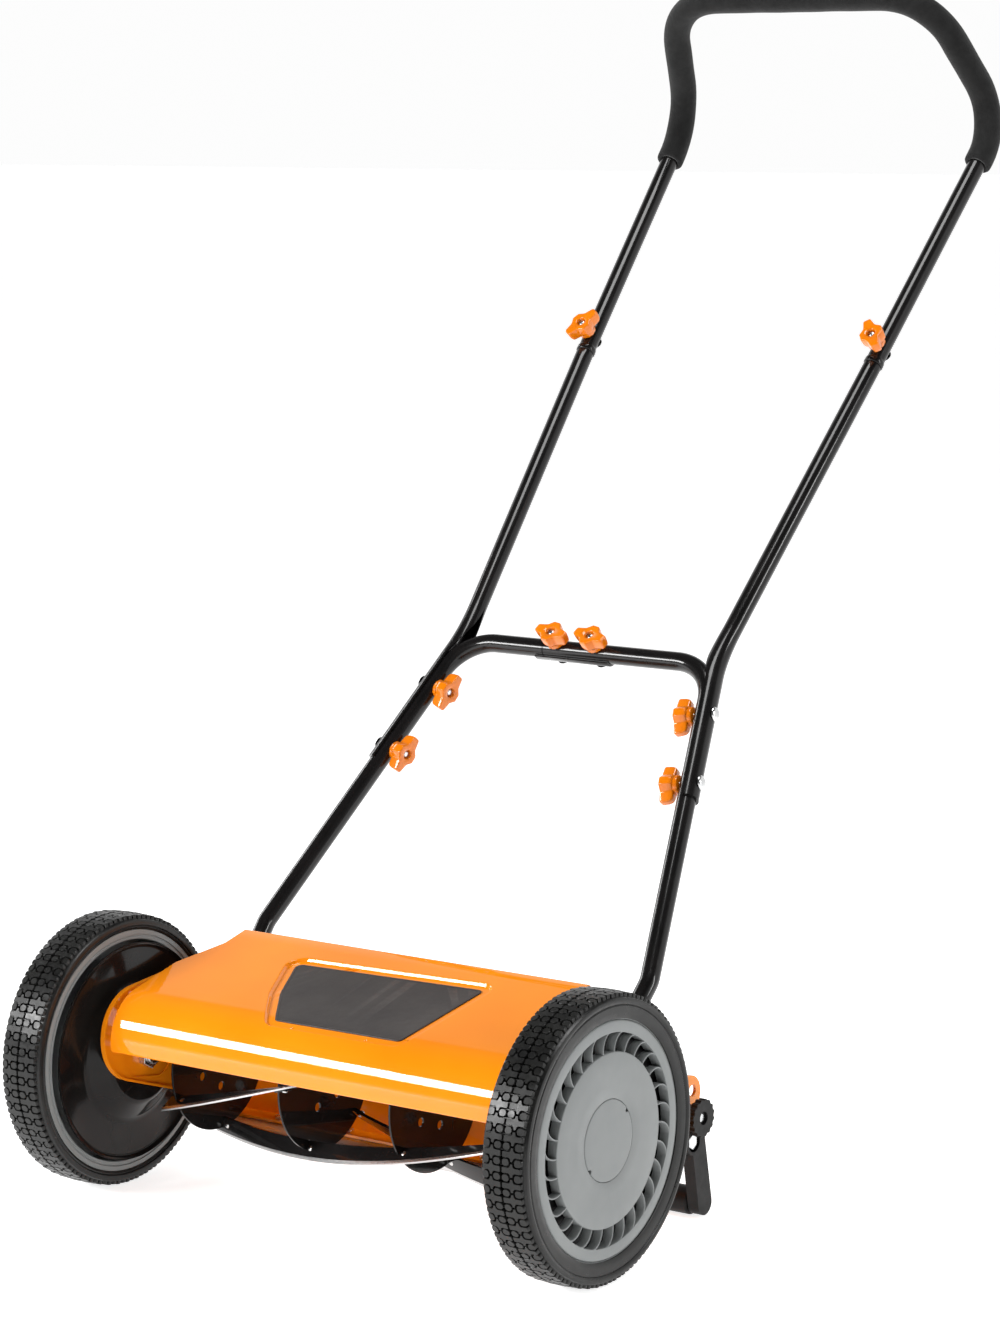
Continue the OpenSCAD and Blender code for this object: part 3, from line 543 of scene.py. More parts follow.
def turbine_hubcap():
    """Disc and outer ring joined by curved vanes, on three studs."""
    shape = Shape()
    face = Vector((CAP_FACE, AXLE_Y, AXLE_Z))
    ring = [(FIN_OUT_R, -9.5), (RING_R, -9.5), (RING_R, -1.6), (RING_R - 0.4, -0.7), (RING_R - 1.2, -0.2),
            (RING_R - 2.2, 0), (FIN_OUT_R + 0.6, 0), (FIN_OUT_R + 0.15, -0.15), (FIN_OUT_R, -0.6)]
    disc = [(CAP_GAP_R, -3.5), (DISC_R - 1.2, -3.5), (DISC_R - 1.2, -9.5), (DISC_R, -9.5), (DISC_R, -0.9),
            (DISC_R - 0.25, -0.3), (DISC_R - 0.9, 0), (60, 0), (48, -0.15), (CAP_GAP_R + 0.5, -0.2),
            (CAP_GAP_R, -0.6)]
    for profile in (ring, disc):
        lathe(shape, face, metres(profile), steps=180)
    for k in range(FIN_COUNT):
        turbine_fin(shape, 2 * math.pi * k / FIN_COUNT)
    for k in range(3):
        a = 2 * math.pi * k / 3
        foot = AXLE + Vector((STUD_FROM, STUD_CIRCLE_R * math.cos(a), STUD_CIRCLE_R * math.sin(a)))
        solid_lathe(shape, foot, [(STUD_R, 0), (STUD_R, CAP_FACE - 3.4 * MM - STUD_FROM)], 32, (1, 0, 0))
    return shape


def centre_disc():
    """Round cap over the axle end, slightly crowned, with two pry notches in its rim."""
    steps, rim_r, notch_wide, notch_deep = 180, 35.5, 3.4, 2.6
    notches = (math.radians(38), math.radians(218))
    profile = [(rim_r, -3.0), (rim_r, -0.75), (35.25, -0.35), (34.6, -0.12), (33.5, 0.0), (26, 0.12),
               (18, 0.24), (9, 0.32), (2.5, 0.36)]
    rings = []
    for r, h in profile:
        ring = []
        for k in range(steps):
            a = 2 * math.pi * k / steps
            gap = min(abs((a - at + math.pi) % (2 * math.pi) - math.pi) for at in notches) * rim_r
            cut = notch_deep if gap < notch_wide / 2 and r > 32 else 0.0
            radius = (r - cut) * MM
            ring.append(AXLE + Vector((CAP_FACE + h * MM, radius * math.cos(a), radius * math.sin(a))))
        rings.append(ring)
    shape = Shape()
    shape.loops(rings)
    return shape


def dished_cover():
    """Gloss cover that closes the gear side of the wheel, dished round the side plate."""
    dish, deep, t = 229.2, 245.0, 1.6
    front = [(14, dish), (43, dish), (45.5, dish + 0.6), (48.5, dish + 3.0), (62, deep - 2.6),
             (65.5, deep - 0.5), (69, deep), (84, deep + 0.3), (96.2, deep + 0.6), (98.6, deep + 0.2),
             (100.4, deep - 1.2), (101.0, deep - 2.0), (101.6, deep - 2.0)]
    back = [(101.6, deep - 2 + t), (98.6, deep + 0.6 + t), (65, deep + t), (44, dish + t), (14, dish + t)]
    shape = Shape()
    lathe(shape, AXLE, metres(front + back), steps=180)
    return shape


def make_wheels():
    wheel = "wheel_{}"
    make_pair("treaded_tyre", treaded_tyre, ["tyre_rubber"], wheel, "tyre", sharp=35)
    # The drum's second finish, black_plastic, is painted shade on its deep side behind the hubcap fins
    make_pair("wheel_drum", wheel_drum, ["grey_plastic", "black_plastic"], wheel, "wheel_rim", sharp=35)
    make_pair("turbine_hubcap", turbine_hubcap, ["grey_plastic"], wheel, "hubcap", sharp=50)
    make_pair("centre_disc", centre_disc, ["grey_plastic"], wheel, "centre_cap", sharp=40)
    make_pair("dished_cover", dished_cover, ["gloss_black"], "chassis", "dust_cover", sharp=60)


# ---------------------------------------------------------------- handle
EYE, LEG_LOW, CORNER = place(214, 105, 156), place(220, 165.6, 225), place(145.7, 380.2, 478)
SADDLE_LOW = place(178.3, 286.1, 367)
FOOT = EYE.lerp(LEG_LOW, 0.45)
FOOT_DIR = (LEG_LOW - EYE).normalized()
SPLICE, FOAM_END = place(170, 619, 746), place(184, 792, 938)
GRIP_BEND, GRIP_CORNER = place(187.2, 831.3, 981.6), place(151.7, 745.7, 1103.1)
FOOT_BEND_R, LOWER_BEND_R, GRIP_BEND_R, GRIP_CORNER_R = 32 * MM, 50 * MM, 61 * MM, 68 * MM
TUBE_R, TUBE_IN, FOAM_R = 9 * MM, 7.8 * MM, 14 * MM
PRESSED_WIDE, PRESSED_THIN, PRESSED_LENGTH = 11.5 * MM, 3.2 * MM, 36 * MM
CROSS_UP = joint_axis("knob_cross_left_turn")
LEG_DIR = (CORNER - LEG_LOW).normalized()
LEG_OUT = (Vector((1, 0, 0)) - LEG_DIR * LEG_DIR.x).normalized()
TOP_DIR = (FOAM_END - SPLICE).normalized()
# The cross bar's halves meet here, and the left one's cradle reaches past the joint
CROSS_END, CROSS_GAP = 45 * MM, 1 * MM
CRADLE_FROM, CRADLE_TO, CRADLE_WALL = -55 * MM, 30 * MM, 2.4 * MM


def ease(t):
    """Smooth step from 0 to 1."""
    return t * t * (3 - 2 * t)


def pressed_foot(shape):
    """Flat eye round the pivot bolt, and the flat neck that joins it to the leg."""
    bolt_r, eye_r, chamfer = 5.05 * MM, PRESSED_WIDE, 0.5 * MM
    plate = [(bolt_r, -PRESSED_THIN), (eye_r - chamfer, -PRESSED_THIN), (eye_r, chamfer - PRESSED_THIN),
             (eye_r, PRESSED_THIN - chamfer), (eye_r - chamfer, PRESSED_THIN), (bolt_r, PRESSED_THIN)]
    lathe(shape, EYE, plate, 48)
    across = FOOT_DIR.cross(Vector((1, 0, 0))).normalized()
    out = across.cross(FOOT_DIR)
    neck = []
    for p, half in ((EYE.lerp(LEG_LOW, 0.08), 9.4 * MM), (FOOT + FOOT_DIR * 2 * MM, PRESSED_WIDE)):
        outline = rounded([(-half, -PRESSED_THIN), (half, -PRESSED_THIN), (half, PRESSED_THIN),
                           (-half, PRESSED_THIN)], 2.4 * MM)
        neck.append([p + across * u + out * v for u, v in outline])
    shape.loops(neck)


def lower_tube(end_x):
    """Half of the lower U: a pressed flat eye, the tube that swells from it, the bend and the cross bar."""
    shape = Shape()
    sides, bore, lead_rows = 40, 38 * MM, 10
    turns = [FOOT, LEG_LOW, CORNER, Vector((end_x, CORNER.y, CORNER.z))]
    path = route(turns, [0, FOOT_BEND_R, LOWER_BEND_R, 0])
    lead = [FOOT + FOOT_DIR * PRESSED_LENGTH * k / lead_rows for k in range(lead_rows + 1)]
    path = lead + [p for p in path if (p - FOOT).length > PRESSED_LENGTH + 3 * MM]
    wide_axis = Vector((1, 0, 0)).cross(FOOT_DIR).normalized()
    rings = []
    for p, (x, y, _) in zip(path, frames(path, wide_axis)):
        s = ease(min(1.0, (p - FOOT).length / PRESSED_LENGTH))
        wide = PRESSED_WIDE + (TUBE_R - PRESSED_WIDE) * s
        thin = PRESSED_THIN + (TUBE_R - PRESSED_THIN) * s
        turn = [2 * math.pi * k / sides for k in range(sides)]
        rings.append([p + x * math.cos(a) * wide + y * math.sin(a) * thin for a in turn])
    middle = path[-1]
    inward = Vector((math.copysign(1, CORNER.x - end_x), 0, 0))
    rings.append([middle + (q - middle) * (TUBE_IN / TUBE_R) for q in rings[-1]])
    rings.append([q + inward * bore for q in rings[-1]])
    shape.loops(rings)
    pressed_foot(shape)
    return shape


def cradle_rings():
    """Half-round cradle under the cross bar's joint, with eased ends."""
    steps, ease_in, bevel = 24, 0.8 * MM, 0.8 * MM
    start = math.atan2(CROSS_UP.z, CROSS_UP.y) + math.pi / 2
    arc = [start + math.pi * k / steps for k in range(steps + 1)]
    rings = []
    for x, thinner in ((CRADLE_FROM, bevel), (CRADLE_FROM + ease_in, 0.0),
                       (CRADLE_TO - ease_in, 0.0), (CRADLE_TO, bevel)):
        centre = Vector((x, CORNER.y, CORNER.z))
        outer, inner = TUBE_R + CRADLE_WALL - thinner, TUBE_R - 0.1 * MM
        walk = [(a, outer) for a in arc] + [(a, inner) for a in arc[::-1]]
        rings.append([centre + Vector((0, math.cos(a), math.sin(a))) * r for a, r in walk])
    return rings


def make_lower_tubes():
    right = lower_tube(-CROSS_END)
    left = lower_tube(CROSS_END + CROSS_GAP).mirrored()
    left.loops(cradle_rings())
    for side, shape in (("right", right), ("left", left)):
        shape.piece(f"lower_handle_{side}", MATERIAL["black_enamel"], "black_enamel", "handle",
                    [f"lower_tube_{side}"], sharp=50)


def grip_route(start):
    """Points along the bent top of the handle, from start to its mirror image."""
    corners = [start, GRIP_BEND, GRIP_CORNER, flip(GRIP_CORNER), flip(GRIP_BEND), flip(start)]
    return route(corners, [0, GRIP_BEND_R, GRIP_CORNER_R, GRIP_CORNER_R, GRIP_BEND_R, 0], 0.006)


def make_upper_tube():
    """One bent tube, with a rolled bead over each swaged end of the middle tubes."""
    shape = Shape()
    pipe(shape, grip_route(SPLICE + TOP_DIR * 0.5 * MM), TUBE_R, TUBE_IN, 40)
    bead = ((0, 0.2), (0.6, 0.8), (5, 0.8), (6.2, 0.4), (7.2, -0.1))
    run = [SPLICE + TOP_DIR * (0.4 + along) * MM for along, _ in bead]
    for path in (run, [flip(p) for p in run]):
        pipe(shape, path, [TUBE_R + proud * MM for _, proud in bead], TUBE_R - 0.5 * MM, 40)
    shape.piece("upper_handle", MATERIAL["black_enamel"], "black_enamel", "handle", ["upper_tube"], sharp=50)


def run_lengths(path):
    """Length along a path at each of its points."""
    lengths = [0.0]
    for a, b in zip(path, path[1:]):
        lengths.append(lengths[-1] + (b - a).length)
    return lengths


def make_grip():
    """Foam sleeve with rolled cut ends and a slightly uneven surface."""
    step, roll, roll_rows, inset = 6 * MM, 2.6 * MM, 4, 0.25 * MM
    path = grip_route(FOAM_END)
    fine = [path[0]]
    for a, b in zip(path, path[1:]):
        runs = max(1, round((b - a).length / step))
        fine += [a.lerp(b, k / runs) for k in range(1, runs + 1)]
    for _ in range(2):
        way = (fine[1] - fine[0]).normalized()
        end = [fine[0] + way * roll * (1 - math.cos(math.pi / 2 * k / roll_rows)) for k in range(roll_rows)]
        fine = (end + [p for p in fine if (p - fine[0]).length > roll])[::-1]
    lengths = run_lengths(fine)
    radii = []
    for s in lengths:
        edge = min(s, lengths[-1] - s)
        soft = 1.0 if edge >= roll else math.sqrt(max(0.0, 1 - (1 - edge / roll) ** 2))
        wave = 0.12 * math.sin(s * 61.0) + 0.10 * math.sin(s * 143.0 + 1.3)
        radii.append(FOAM_R - inset + wave * MM - (1 - soft) * roll)
    shape = Shape()
    pipe(shape, fine, radii, TUBE_R + 0.02 * MM, 48)
    grip = shape.piece("foam_sleeve", MATERIAL["grip_foam"], "grip_foam", "handle", ["foam_grip"])


# ---------------------------------------------------------------- middle tubes
MIDDLE_TOP = SPLICE + TOP_DIR * 0.2 * MM
MIDDLE_DIR = (SPLICE - CORNER).normalized()
SPREAD = 42 * MM
SADDLE_TOP = CORNER + MIDDLE_DIR * SPREAD


def saddle_stations():
    """Centre, direction and share closed of each section: along the leg, then easing over to the tube."""
    rows, straight, past = 14, 0.86, 8 * MM
    run_in = (CORNER - SADDLE_LOW).length
    stations = []
    for k in range(rows + 1):
        stations.append((SADDLE_LOW + LEG_DIR * run_in * straight * k / rows, LEG_DIR, 0.0))
    last = stations[-1][0]
    for k in range(1, rows + 1):
        t = k / rows
        e = ease(t)
        along_leg = last + LEG_DIR * (run_in * (1 - straight) + past) * t
        along_tube = SADDLE_TOP - MIDDLE_DIR * SPREAD * (1 - t)
        stations.append((along_leg.lerp(along_tube, e), LEG_DIR.lerp(MIDDLE_DIR, e).normalized(), e))
    return stations


def middle_tube():
    """Tube whose foot is opened into a half-round saddle that hugs the leg, and whose head is swaged."""
    shape = Shape()
    sides, open_half, shut_half = 48, 90.0, 179.2
    saddle_r, saddle_in = TUBE_R + 2.3 * MM, TUBE_R + 0.12 * MM
    rings = []
    for p, t, e in saddle_stations():
        out = (LEG_OUT - t * LEG_OUT.dot(t)).normalized()
        across = t.cross(out)
        half = math.radians(open_half + (shut_half - open_half) * e)
        outer = saddle_r + (TUBE_R - saddle_r) * e
        inner = saddle_in + (TUBE_IN - saddle_in) * e
        arc = [-half + 2 * half * k / sides for k in range(sides + 1)]
        walk = [(a, outer) for a in arc] + [(a, inner) for a in arc[::-1]]
        rings.append([p + (out * math.cos(a) + across * math.sin(a)) * r for a, r in walk])
    shape.loops(rings)
    body = [SADDLE_TOP - MIDDLE_DIR * 3 * MM, SADDLE_TOP.lerp(SPLICE, 0.5), SPLICE - MIDDLE_DIR * 9 * MM,
            SPLICE - MIDDLE_DIR * 2 * MM, MIDDLE_TOP]
    pipe(shape, body, [TUBE_R - 0.02 * MM] + [TUBE_R] * 3 + [TUBE_R - 0.4 * MM], TUBE_IN, 48)
    plug = [SPLICE - MIDDLE_DIR * 3 * MM, SPLICE + TOP_DIR * 40 * MM, SPLICE + TOP_DIR * 42 * MM]
    pipe(shape, plug, [TUBE_IN - 0.25 * MM] * 2 + [TUBE_IN - 1.0 * MM], TUBE_IN - 1.4 * MM, 40)
    return shape


def make_middle_tubes():
    make_pair("saddle_tube", middle_tube, ["black_enamel"], "handle", "middle_tube", sharp=40)


# ---------------------------------------------------------------- wing knobs and their bolts
KNOB_HIGH, KNOB_FOOT, KNOB_HOLE, BOLT_R = 17.5, 5.5, 4.6, 3.0
WING_TURN = {"cross": 78.0, "side": 35.0, "top": 35.0}
KNOB_TURNS = [name for name in JOINTS if name.startswith("knob_")]


def star_outline():
    """Four square lobes, two of them long, with hollows between them."""
    half = [(18.8, -3.6), (18.8, 3.9), (8.8, 6.2), (3.6, 11.8), (-3.6, 11.8), (-8.8, 6.2)]
    whole = half + [(-x, -y) for x, y in half]
    return [Vector(q) for q in rounded(whole, [1.8, 1.8, 4] * 4, 5)]


def wing_knob(place_at, axis, turn):
    """Round foot, star-shaped grip with eased edges, and a well round the bolt's end."""
    x, y, z = axis_frame(axis)
    c, s = math.cos(turn), math.sin(turn)
    x, y = x * c + y * s, y * c - x * s
    base = place_at + z * (TUBE_R + 0.45 * MM)
    outline = star_outline()
    foot = ((0.2, BOLT_R + 0.1), (0.2, 8.6), (0.6, 9), (KNOB_FOOT - 1.0, 9))
    grip = ((KNOB_FOOT - 1.0, 0.80), (KNOB_FOOT, 0.88), (KNOB_FOOT + 1.2, 0.93), (KNOB_HIGH * 0.55, 0.975),
            (KNOB_HIGH - 2.2, 1.0), (KNOB_HIGH - 0.9, 0.985), (KNOB_HIGH - 0.25, 0.955), (KNOB_HIGH, 0.90))
    well = ((KNOB_HIGH - 0.15, KNOB_HOLE + 0.7), (KNOB_HIGH - 0.8, KNOB_HOLE),
            (KNOB_HIGH - 5.5, KNOB_HOLE - 0.3), (KNOB_HIGH - 6, BOLT_R))
    rings = [[q.normalized() * r for q in outline] for _, r in foot]
    rings += [[q * share for q in outline] for _, share in grip]
    rings += [[q.normalized() * r for q in outline] for _, r in well]
    heights = [h for h, _ in foot + grip + well]
    shape = Shape()
    shape.loops([[base + (x * q.x + y * q.y + z * h) * MM for q in ring] for ring, h in zip(rings, heights)])
    return shape


def make_knobs():
    for name in KNOB_TURNS:
        knob = name[:-len("_turn")]
        turn = math.radians(WING_TURN[knob.split("_")[1]])
        if knob.endswith("left") and "cross" not in knob:
            turn = -turn
        shape = wing_knob(joint_place(name), joint_axis(name), turn)
        shape.piece("wing_" + knob, MATERIAL["orange_plastic"], "orange_plastic", knob, [knob], sharp=58)


def carriage_bolt(shape, at, axis, back, ahead):
    """Domed head behind the joint, and a threaded end inside the knob. Lengths in millimetres."""
    dome = [(0.6, -2.75), (2.4, -2.65), (4.4, -2.25), (6.0, -1.5), (6.9, -0.5), (7.0, 0.0), (3.0, 0.0)]
    head = at - axis * back * MM
    solid_lathe(shape, head, metres(dome), 40, axis)
    turns, pitch, crest = 9, 1.0, BOLT_R - 0.05
    top = ahead + back
    start = top - turns * pitch
    profile = [(crest, 0.2), (crest, start)]
    for k in range(turns):
        profile += [(crest, start + (k + 0.25) * pitch), (BOLT_R - 0.5, start + (k + 0.75) * pitch)]
    profile += [(BOLT_R - 0.9, top)]
    solid_lathe(shape, head, metres(profile), 24, axis)


def make_handle_bolts():
    shape = Shape()
    for name in KNOB_TURNS:
        back = 9.1 if "top" in name else 11.7
        carriage_bolt(shape, joint_place(name), joint_axis(name), back, 25)
    shape.piece("carriage_bolts", MATERIAL["zinc_steel"], "zinc_steel", "handle", ["handle_bolts"], sharp=40)


# ---------------------------------------------------------------- top cover
NOSE, NOSE_R = Vector((-16, 150)), 47.0
REAR_EDGE = Vector((108, 230.6))
SLOPE = math.radians(14.5)
HEM_ANGLE = math.radians(187)
SHEET = 1.5
FRONT_HALF, REAR_HALF = 215.0, 196.0
TAPER_START, TAPER_END = 28.0, 76.0
# Corners as X and distance up the slope from the end of the nose curve
BADGE = [(-44.6, -8.5), (94.7, -7.2), (108, 101.5), (-100, 94), (-75, 37.6)]
BADGE_CORNERS = [5, 5, 5, 6, 60]
RECESS_MARGIN, RECESS_DEPTH = 8.5, 3.0
WALL_R, WALL_SLOPE, WALL_STEPS = 0.9, math.radians(58), 4
OUTLINE_STEP = 3.0
NOSE_LENGTH = (HEM_ANGLE - math.pi / 2 - SLOPE) * NOSE_R
HEM_ROWS, NOSE_ROWS, PATCH_NOSE_ROWS = 8, 40, 13
NOSE_S = [NOSE_LENGTH * (k / NOSE_ROWS - 1) for k in range(1, NOSE_ROWS + 1)]
SLOPE_S = [14.0, 36.0, 57.6, 74.0, 90.0, 107.2, 122.0]
PATCH_S = NOSE_S[-PATCH_NOSE_ROWS - 1:] + SLOPE_S
PATCH_X = [-135.0, -84.0, -33.0, 18.0, 69.0, 120.0]


def unit2(angle):
    return Vector((math.cos(angle), math.sin(angle)))


TOP_NORMAL = unit2(math.pi / 2 + SLOPE)
SLOPE_START = NOSE + TOP_NORMAL * NOSE_R


def sheet_at(s):
    """Point and normal of the cover's outer face, s up the slope from the end of the nose curve."""
    if s >= 0:
        return SLOPE_START + unit2(SLOPE) * s, TOP_NORMAL
    normal = unit2(math.pi / 2 + SLOPE - s / NOSE_R)
    return NOSE + normal * NOSE_R, normal


def on_sheet(x, s, lift):
    """Point at height lift above the cover's outer face."""
    foot, normal = sheet_at(s)
    raised = foot + normal * lift
    return place(x, raised.x, raised.y)


def cover_section():
    """Outer line from the curled front hem to the rear flange, as points in Y and Z."""
    curl_r, bend_r, flange = 2.6, 3.5, 8.5
    curl, bend_rows = math.radians(150), 8
    hem = NOSE + unit2(HEM_ANGLE) * (NOSE_R - curl_r)
    rows = [hem + unit2(HEM_ANGLE + curl * (1 - k / HEM_ROWS)) * curl_r for k in range(HEM_ROWS + 1)]
    rows += [sheet_at(s)[0] for s in NOSE_S + SLOPE_S]
    bend = REAR_EDGE - TOP_NORMAL * bend_r - unit2(SLOPE) * bend_r
    turn = math.pi / 2 + SLOPE
    rows += [bend + unit2(turn * (1 - k / bend_rows)) * bend_r for k in range(bend_rows + 1)]
    rows.append(bend + Vector((bend_r, -flange)))
    return rows


def half_width(y):
    t = min(1.0, max(0.0, (y - TAPER_START) / (TAPER_END - TAPER_START)))
    return FRONT_HALF + (REAR_HALF - FRONT_HALF) * t


def grown(points, margin):
    """Closed outline moved outwards by margin."""
    out, n = [], len(points)
    area = sum(p[0] * q[1] - q[0] * p[1] for p, q in zip(points, points[1:] + points[:1]))
    sign = 1 if area > 0 else -1
    for i in range(n):
        a, b, c = (Vector(points[(i + k) % n]) for k in (-1, 0, 1))
        u, v = (b - a).normalized(), (c - b).normalized()
        nu, nv = Vector((u.y, -u.x)) * sign, Vector((v.y, -v.x)) * sign
        out.append(tuple(b + (nu + nv) * (margin / (1 + nu.dot(nv)))))
    return out


def badge_ring(margin):
    """Badge outline grown by margin, with a point at least every few millimetres."""
    radii = [r + margin for r in BADGE_CORNERS]
    ring = [Vector(q) for q in rounded(grown(BADGE, margin), radii, 9)]
    guide = [Vector(q) for q in rounded(BADGE, BADGE_CORNERS, 9)]
    n = len(ring)
    out = []
    for k in range(n):
        parts = max(1, round((guide[(k + 1) % n] - guide[k]).length / OUTLINE_STEP))
        out += [ring[k].lerp(ring[(k + 1) % n], i / parts) for i in range(parts)]
    return out


def inside_outline(p, outline):
    hit = False
    for a, b in zip(outline, outline[1:] + outline[:1]):
        if (a.y > p.y) != (b.y > p.y) and p.x < a.x + (b.x - a.x) * (p.y - a.y) / (b.y - a.y):
            hit = not hit
    return hit


def filled(outline, hole=()):
    """Triangles that fill an outline round a hole, with rows of points that follow the nose curve."""
    hole = list(hole)
    spacing, clear = 5, 1.9
    points = outline + hole
    count, inner = len(outline), len(hole)
    edges = [(k, (k + 1) % count) for k in range(count)]
    edges += [(count + k, count + (k + 1) % inner) for k in range(inner)]

    def within(p):
        return inside_outline(p, outline) and not (hole and inside_outline(p, hole))

    grid = [Vector((x, s)) for s in PATCH_S[1:PATCH_NOSE_ROWS + 1]
            for x in range(int(PATCH_X[0]), int(PATCH_X[-1]), spacing)]
    points = points + [p for p in grid if within(p) and min((p - q).length for q in points) > clear]
    made = delaunay_2d_cdt(points, edges, [], 0, 1e-6)
    spots = [points[source[0]] if source else v for v, source in zip(made[0], made[3])]
    triangles = [[spots[k] for k in tri] for tri in made[2]]
    return [t for t in triangles if within((t[0] + t[1] + t[2]) / 3)]


class Welded:
    """Faces over named points, each point stored once."""

    def __init__(self):
        self.verts, self.faces, self.index = [], [], {}

    def at(self, p):
        key = tuple(round(c * 1e6) for c in p)
        if key not in self.index:
            self.index[key] = len(self.verts)
            self.verts.append(p)
        return self.index[key]

    def face(self, points):
        ids = [self.at(p) for p in points]
        if len(set(ids)) == len(ids):
            self.faces.append(ids)

    def facing(self, direction):
        """Points and faces turned to one side, the outermost face towards direction."""
        build = bmesh.new()
        points = [build.verts.new(v) for v in self.verts]
        for ids in self.faces:
            build.faces.new([points[k] for k in ids])
        bmesh.ops.recalc_face_normals(build, faces=build.faces)
        first = max(build.faces, key=lambda f: f.calc_center_median().dot(direction))
        if first.normal.dot(direction) < 0:
            bmesh.ops.reverse_faces(build, faces=build.faces)
        build.verts.index_update()
        verts = [v.co.copy() for v in build.verts]
        faces = [[v.index for v in f.verts] for f in build.faces]
        build.free()
        return verts, faces


def recess_wall():
    """Rolled step at the recess's edge, as (distance outwards, height)."""
    angles = [WALL_SLOPE * k / WALL_STEPS for k in range(WALL_STEPS + 1)]
    roll = [(WALL_R * math.sin(a), WALL_R * (math.cos(a) - 1)) for a in angles]
    half = roll[-1][0] + (RECESS_DEPTH / 2 + roll[-1][1]) / math.tan(WALL_SLOPE)
    top = [(half + 1.1, 0.0)] + [(half - across, drop) for across, drop in roll]
    return top + [(-across, -RECESS_DEPTH - drop) for across, drop in top[::-1]]


def add_wall(sheet, rings):
    """Joins rings of (X, s, lift) that have the same number of points."""
    for a, b in zip(rings, rings[1:]):
        n = len(a)
        for k in range(n):
            sheet.face([on_sheet(*q) for q in (a[k], a[(k + 1) % n], b[(k + 1) % n], b[k])])


def formed_cover():
    """Pressed sheet with a curled front hem, a rear flange and a sunk panel for the badge."""
    rows = cover_section()
    columns = [-FRONT_HALF, -190.0, -162.0, *PATCH_X, 155.0, 190.0, FRONT_HALF]
    first = HEM_ROWS + NOSE_ROWS - PATCH_NOSE_ROWS
    last = first + len(PATCH_S) - 1
    sheet = Welded()

    def corner(i, j):
        y, z = rows[i]
        x = columns[j]
        if abs(x) == FRONT_HALF:
            x = math.copysign(half_width(y), x)
        return place(x, y, z)

    for i in range(len(rows) - 1):
        for j in range(len(columns) - 1):
            if not (first <= i < last and PATCH_X[0] <= columns[j] < PATCH_X[-1]):
                sheet.face([corner(i, j), corner(i, j + 1), corner(i + 1, j + 1), corner(i + 1, j)])
    rim = [(x, PATCH_S[0]) for x in PATCH_X] + [(PATCH_X[-1], s) for s in PATCH_S[1:]]
    rim += [(x, PATCH_S[-1]) for x in PATCH_X[-2::-1]] + [(PATCH_X[0], s) for s in PATCH_S[-2:0:-1]]
    wall = [(badge_ring(RECESS_MARGIN + margin), lift) for margin, lift in recess_wall()]
    for triangle in filled([Vector(q) for q in rim], wall[0][0]):
        sheet.face([on_sheet(p.x, p.y, 0.0) for p in triangle])
    add_wall(sheet, [[(p.x, p.y, lift) for p in ring] for ring, lift in wall])
    for triangle in filled(wall[-1][0]):
        sheet.face([on_sheet(p.x, p.y, -RECESS_DEPTH) for p in triangle])
    return sheet


def make_cover():
    verts, faces = formed_cover().facing(Vector((0, 0, 1)))
    cover = new_piece("formed_cover", verts, faces, MATERIAL["orange_paint"])
    thick = cover.modifiers.new("sheet", "SOLIDIFY")
    thick.thickness, thick.offset = SHEET * MM, -1.0
    edge = cover.modifiers.new("edges", "BEVEL")
    edge.width, edge.segments = 0.45 * MM, 2
    edge.limit_method, edge.angle_limit = "ANGLE", math.radians(60)
    edge.harden_normals = True
    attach(cover, "chassis")
    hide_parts("top_cover")
    make_cover_tabs()


def make_cover_tabs():
    """Ears under the cover's ends that take its bolts."""
    half, inset = 7.5, 0.9
    shape = Shape()
    for y, z in ((-18, 166), (20, 187)):
        rise = math.tan(SLOPE)
        tops = [SLOPE_START.y + (y + side - SLOPE_START.x) * rise - inset for side in (half, -half)]
        outline = [(y - half, z - half), (y + half, z - half), (y + half, tops[0]), (y - half, tops[1])]
        ring = rounded(outline, [7, 7, 0, 0], 6)
        shape.loops([[place(x, across, up) for across, up in ring] for x in (211.0, 212.8)])
    both = Shape()
    for part in (shape, shape.mirrored()):
        both.add(part.verts, part.faces)
    both.piece("cover_ears", MATERIAL["orange_paint"], "orange_paint", "chassis", bevel=(0.3 * MM, 40))


def make_badge():
    """Dark panel that lies in the sunk part of the cover, with a bevelled border."""
    levels = [(0.0, 0.05), (0.0, 0.85), (-0.35, 1.15), (-2.2, 1.2), (-2.5, 1.0), (-2.9, 0.95)]
    rings = [[(p.x, p.y, lift - RECESS_DEPTH) for p in badge_ring(margin)] for margin, lift in levels]
    sheet = Welded()
    add_wall(sheet, rings)
    for ring in (rings[0], rings[-1]):
        for triangle in filled([Vector(q[:2]) for q in ring]):
            sheet.face([on_sheet(p.x, p.y, ring[0][2]) for p in triangle])
    shape = Shape()
    shape.add(*sheet.facing(Vector((0, 0, 1))))
    shape.piece("badge_panel", MATERIAL["badge_plastic"], "badge_plastic", "chassis", ["badge_plate"],
                sharp=35)


# ---------------------------------------------------------------- reel
BLADES = 5
BLADE_IN, BLADE_OUT, BLADE_T = 56 * MM, 74 * MM, 2.8 * MM
BLADE_PHASE, BLADE_TWIST = 160.6, -0.24
CUT_HALF = 203.0
DISCS, DISC_PITCH = 4, 126.0


def blade_angle(k, x):
    return math.radians(BLADE_PHASE + 360 / BLADES * k + BLADE_TWIST * x)


def reel_point(x, radius, across, angle):
    y = radius * math.cos(angle) - across * math.sin(angle)
    z = radius * math.sin(angle) + across * math.cos(angle)
    return Vector((x * MM, REEL.y + y, REEL.z + z))


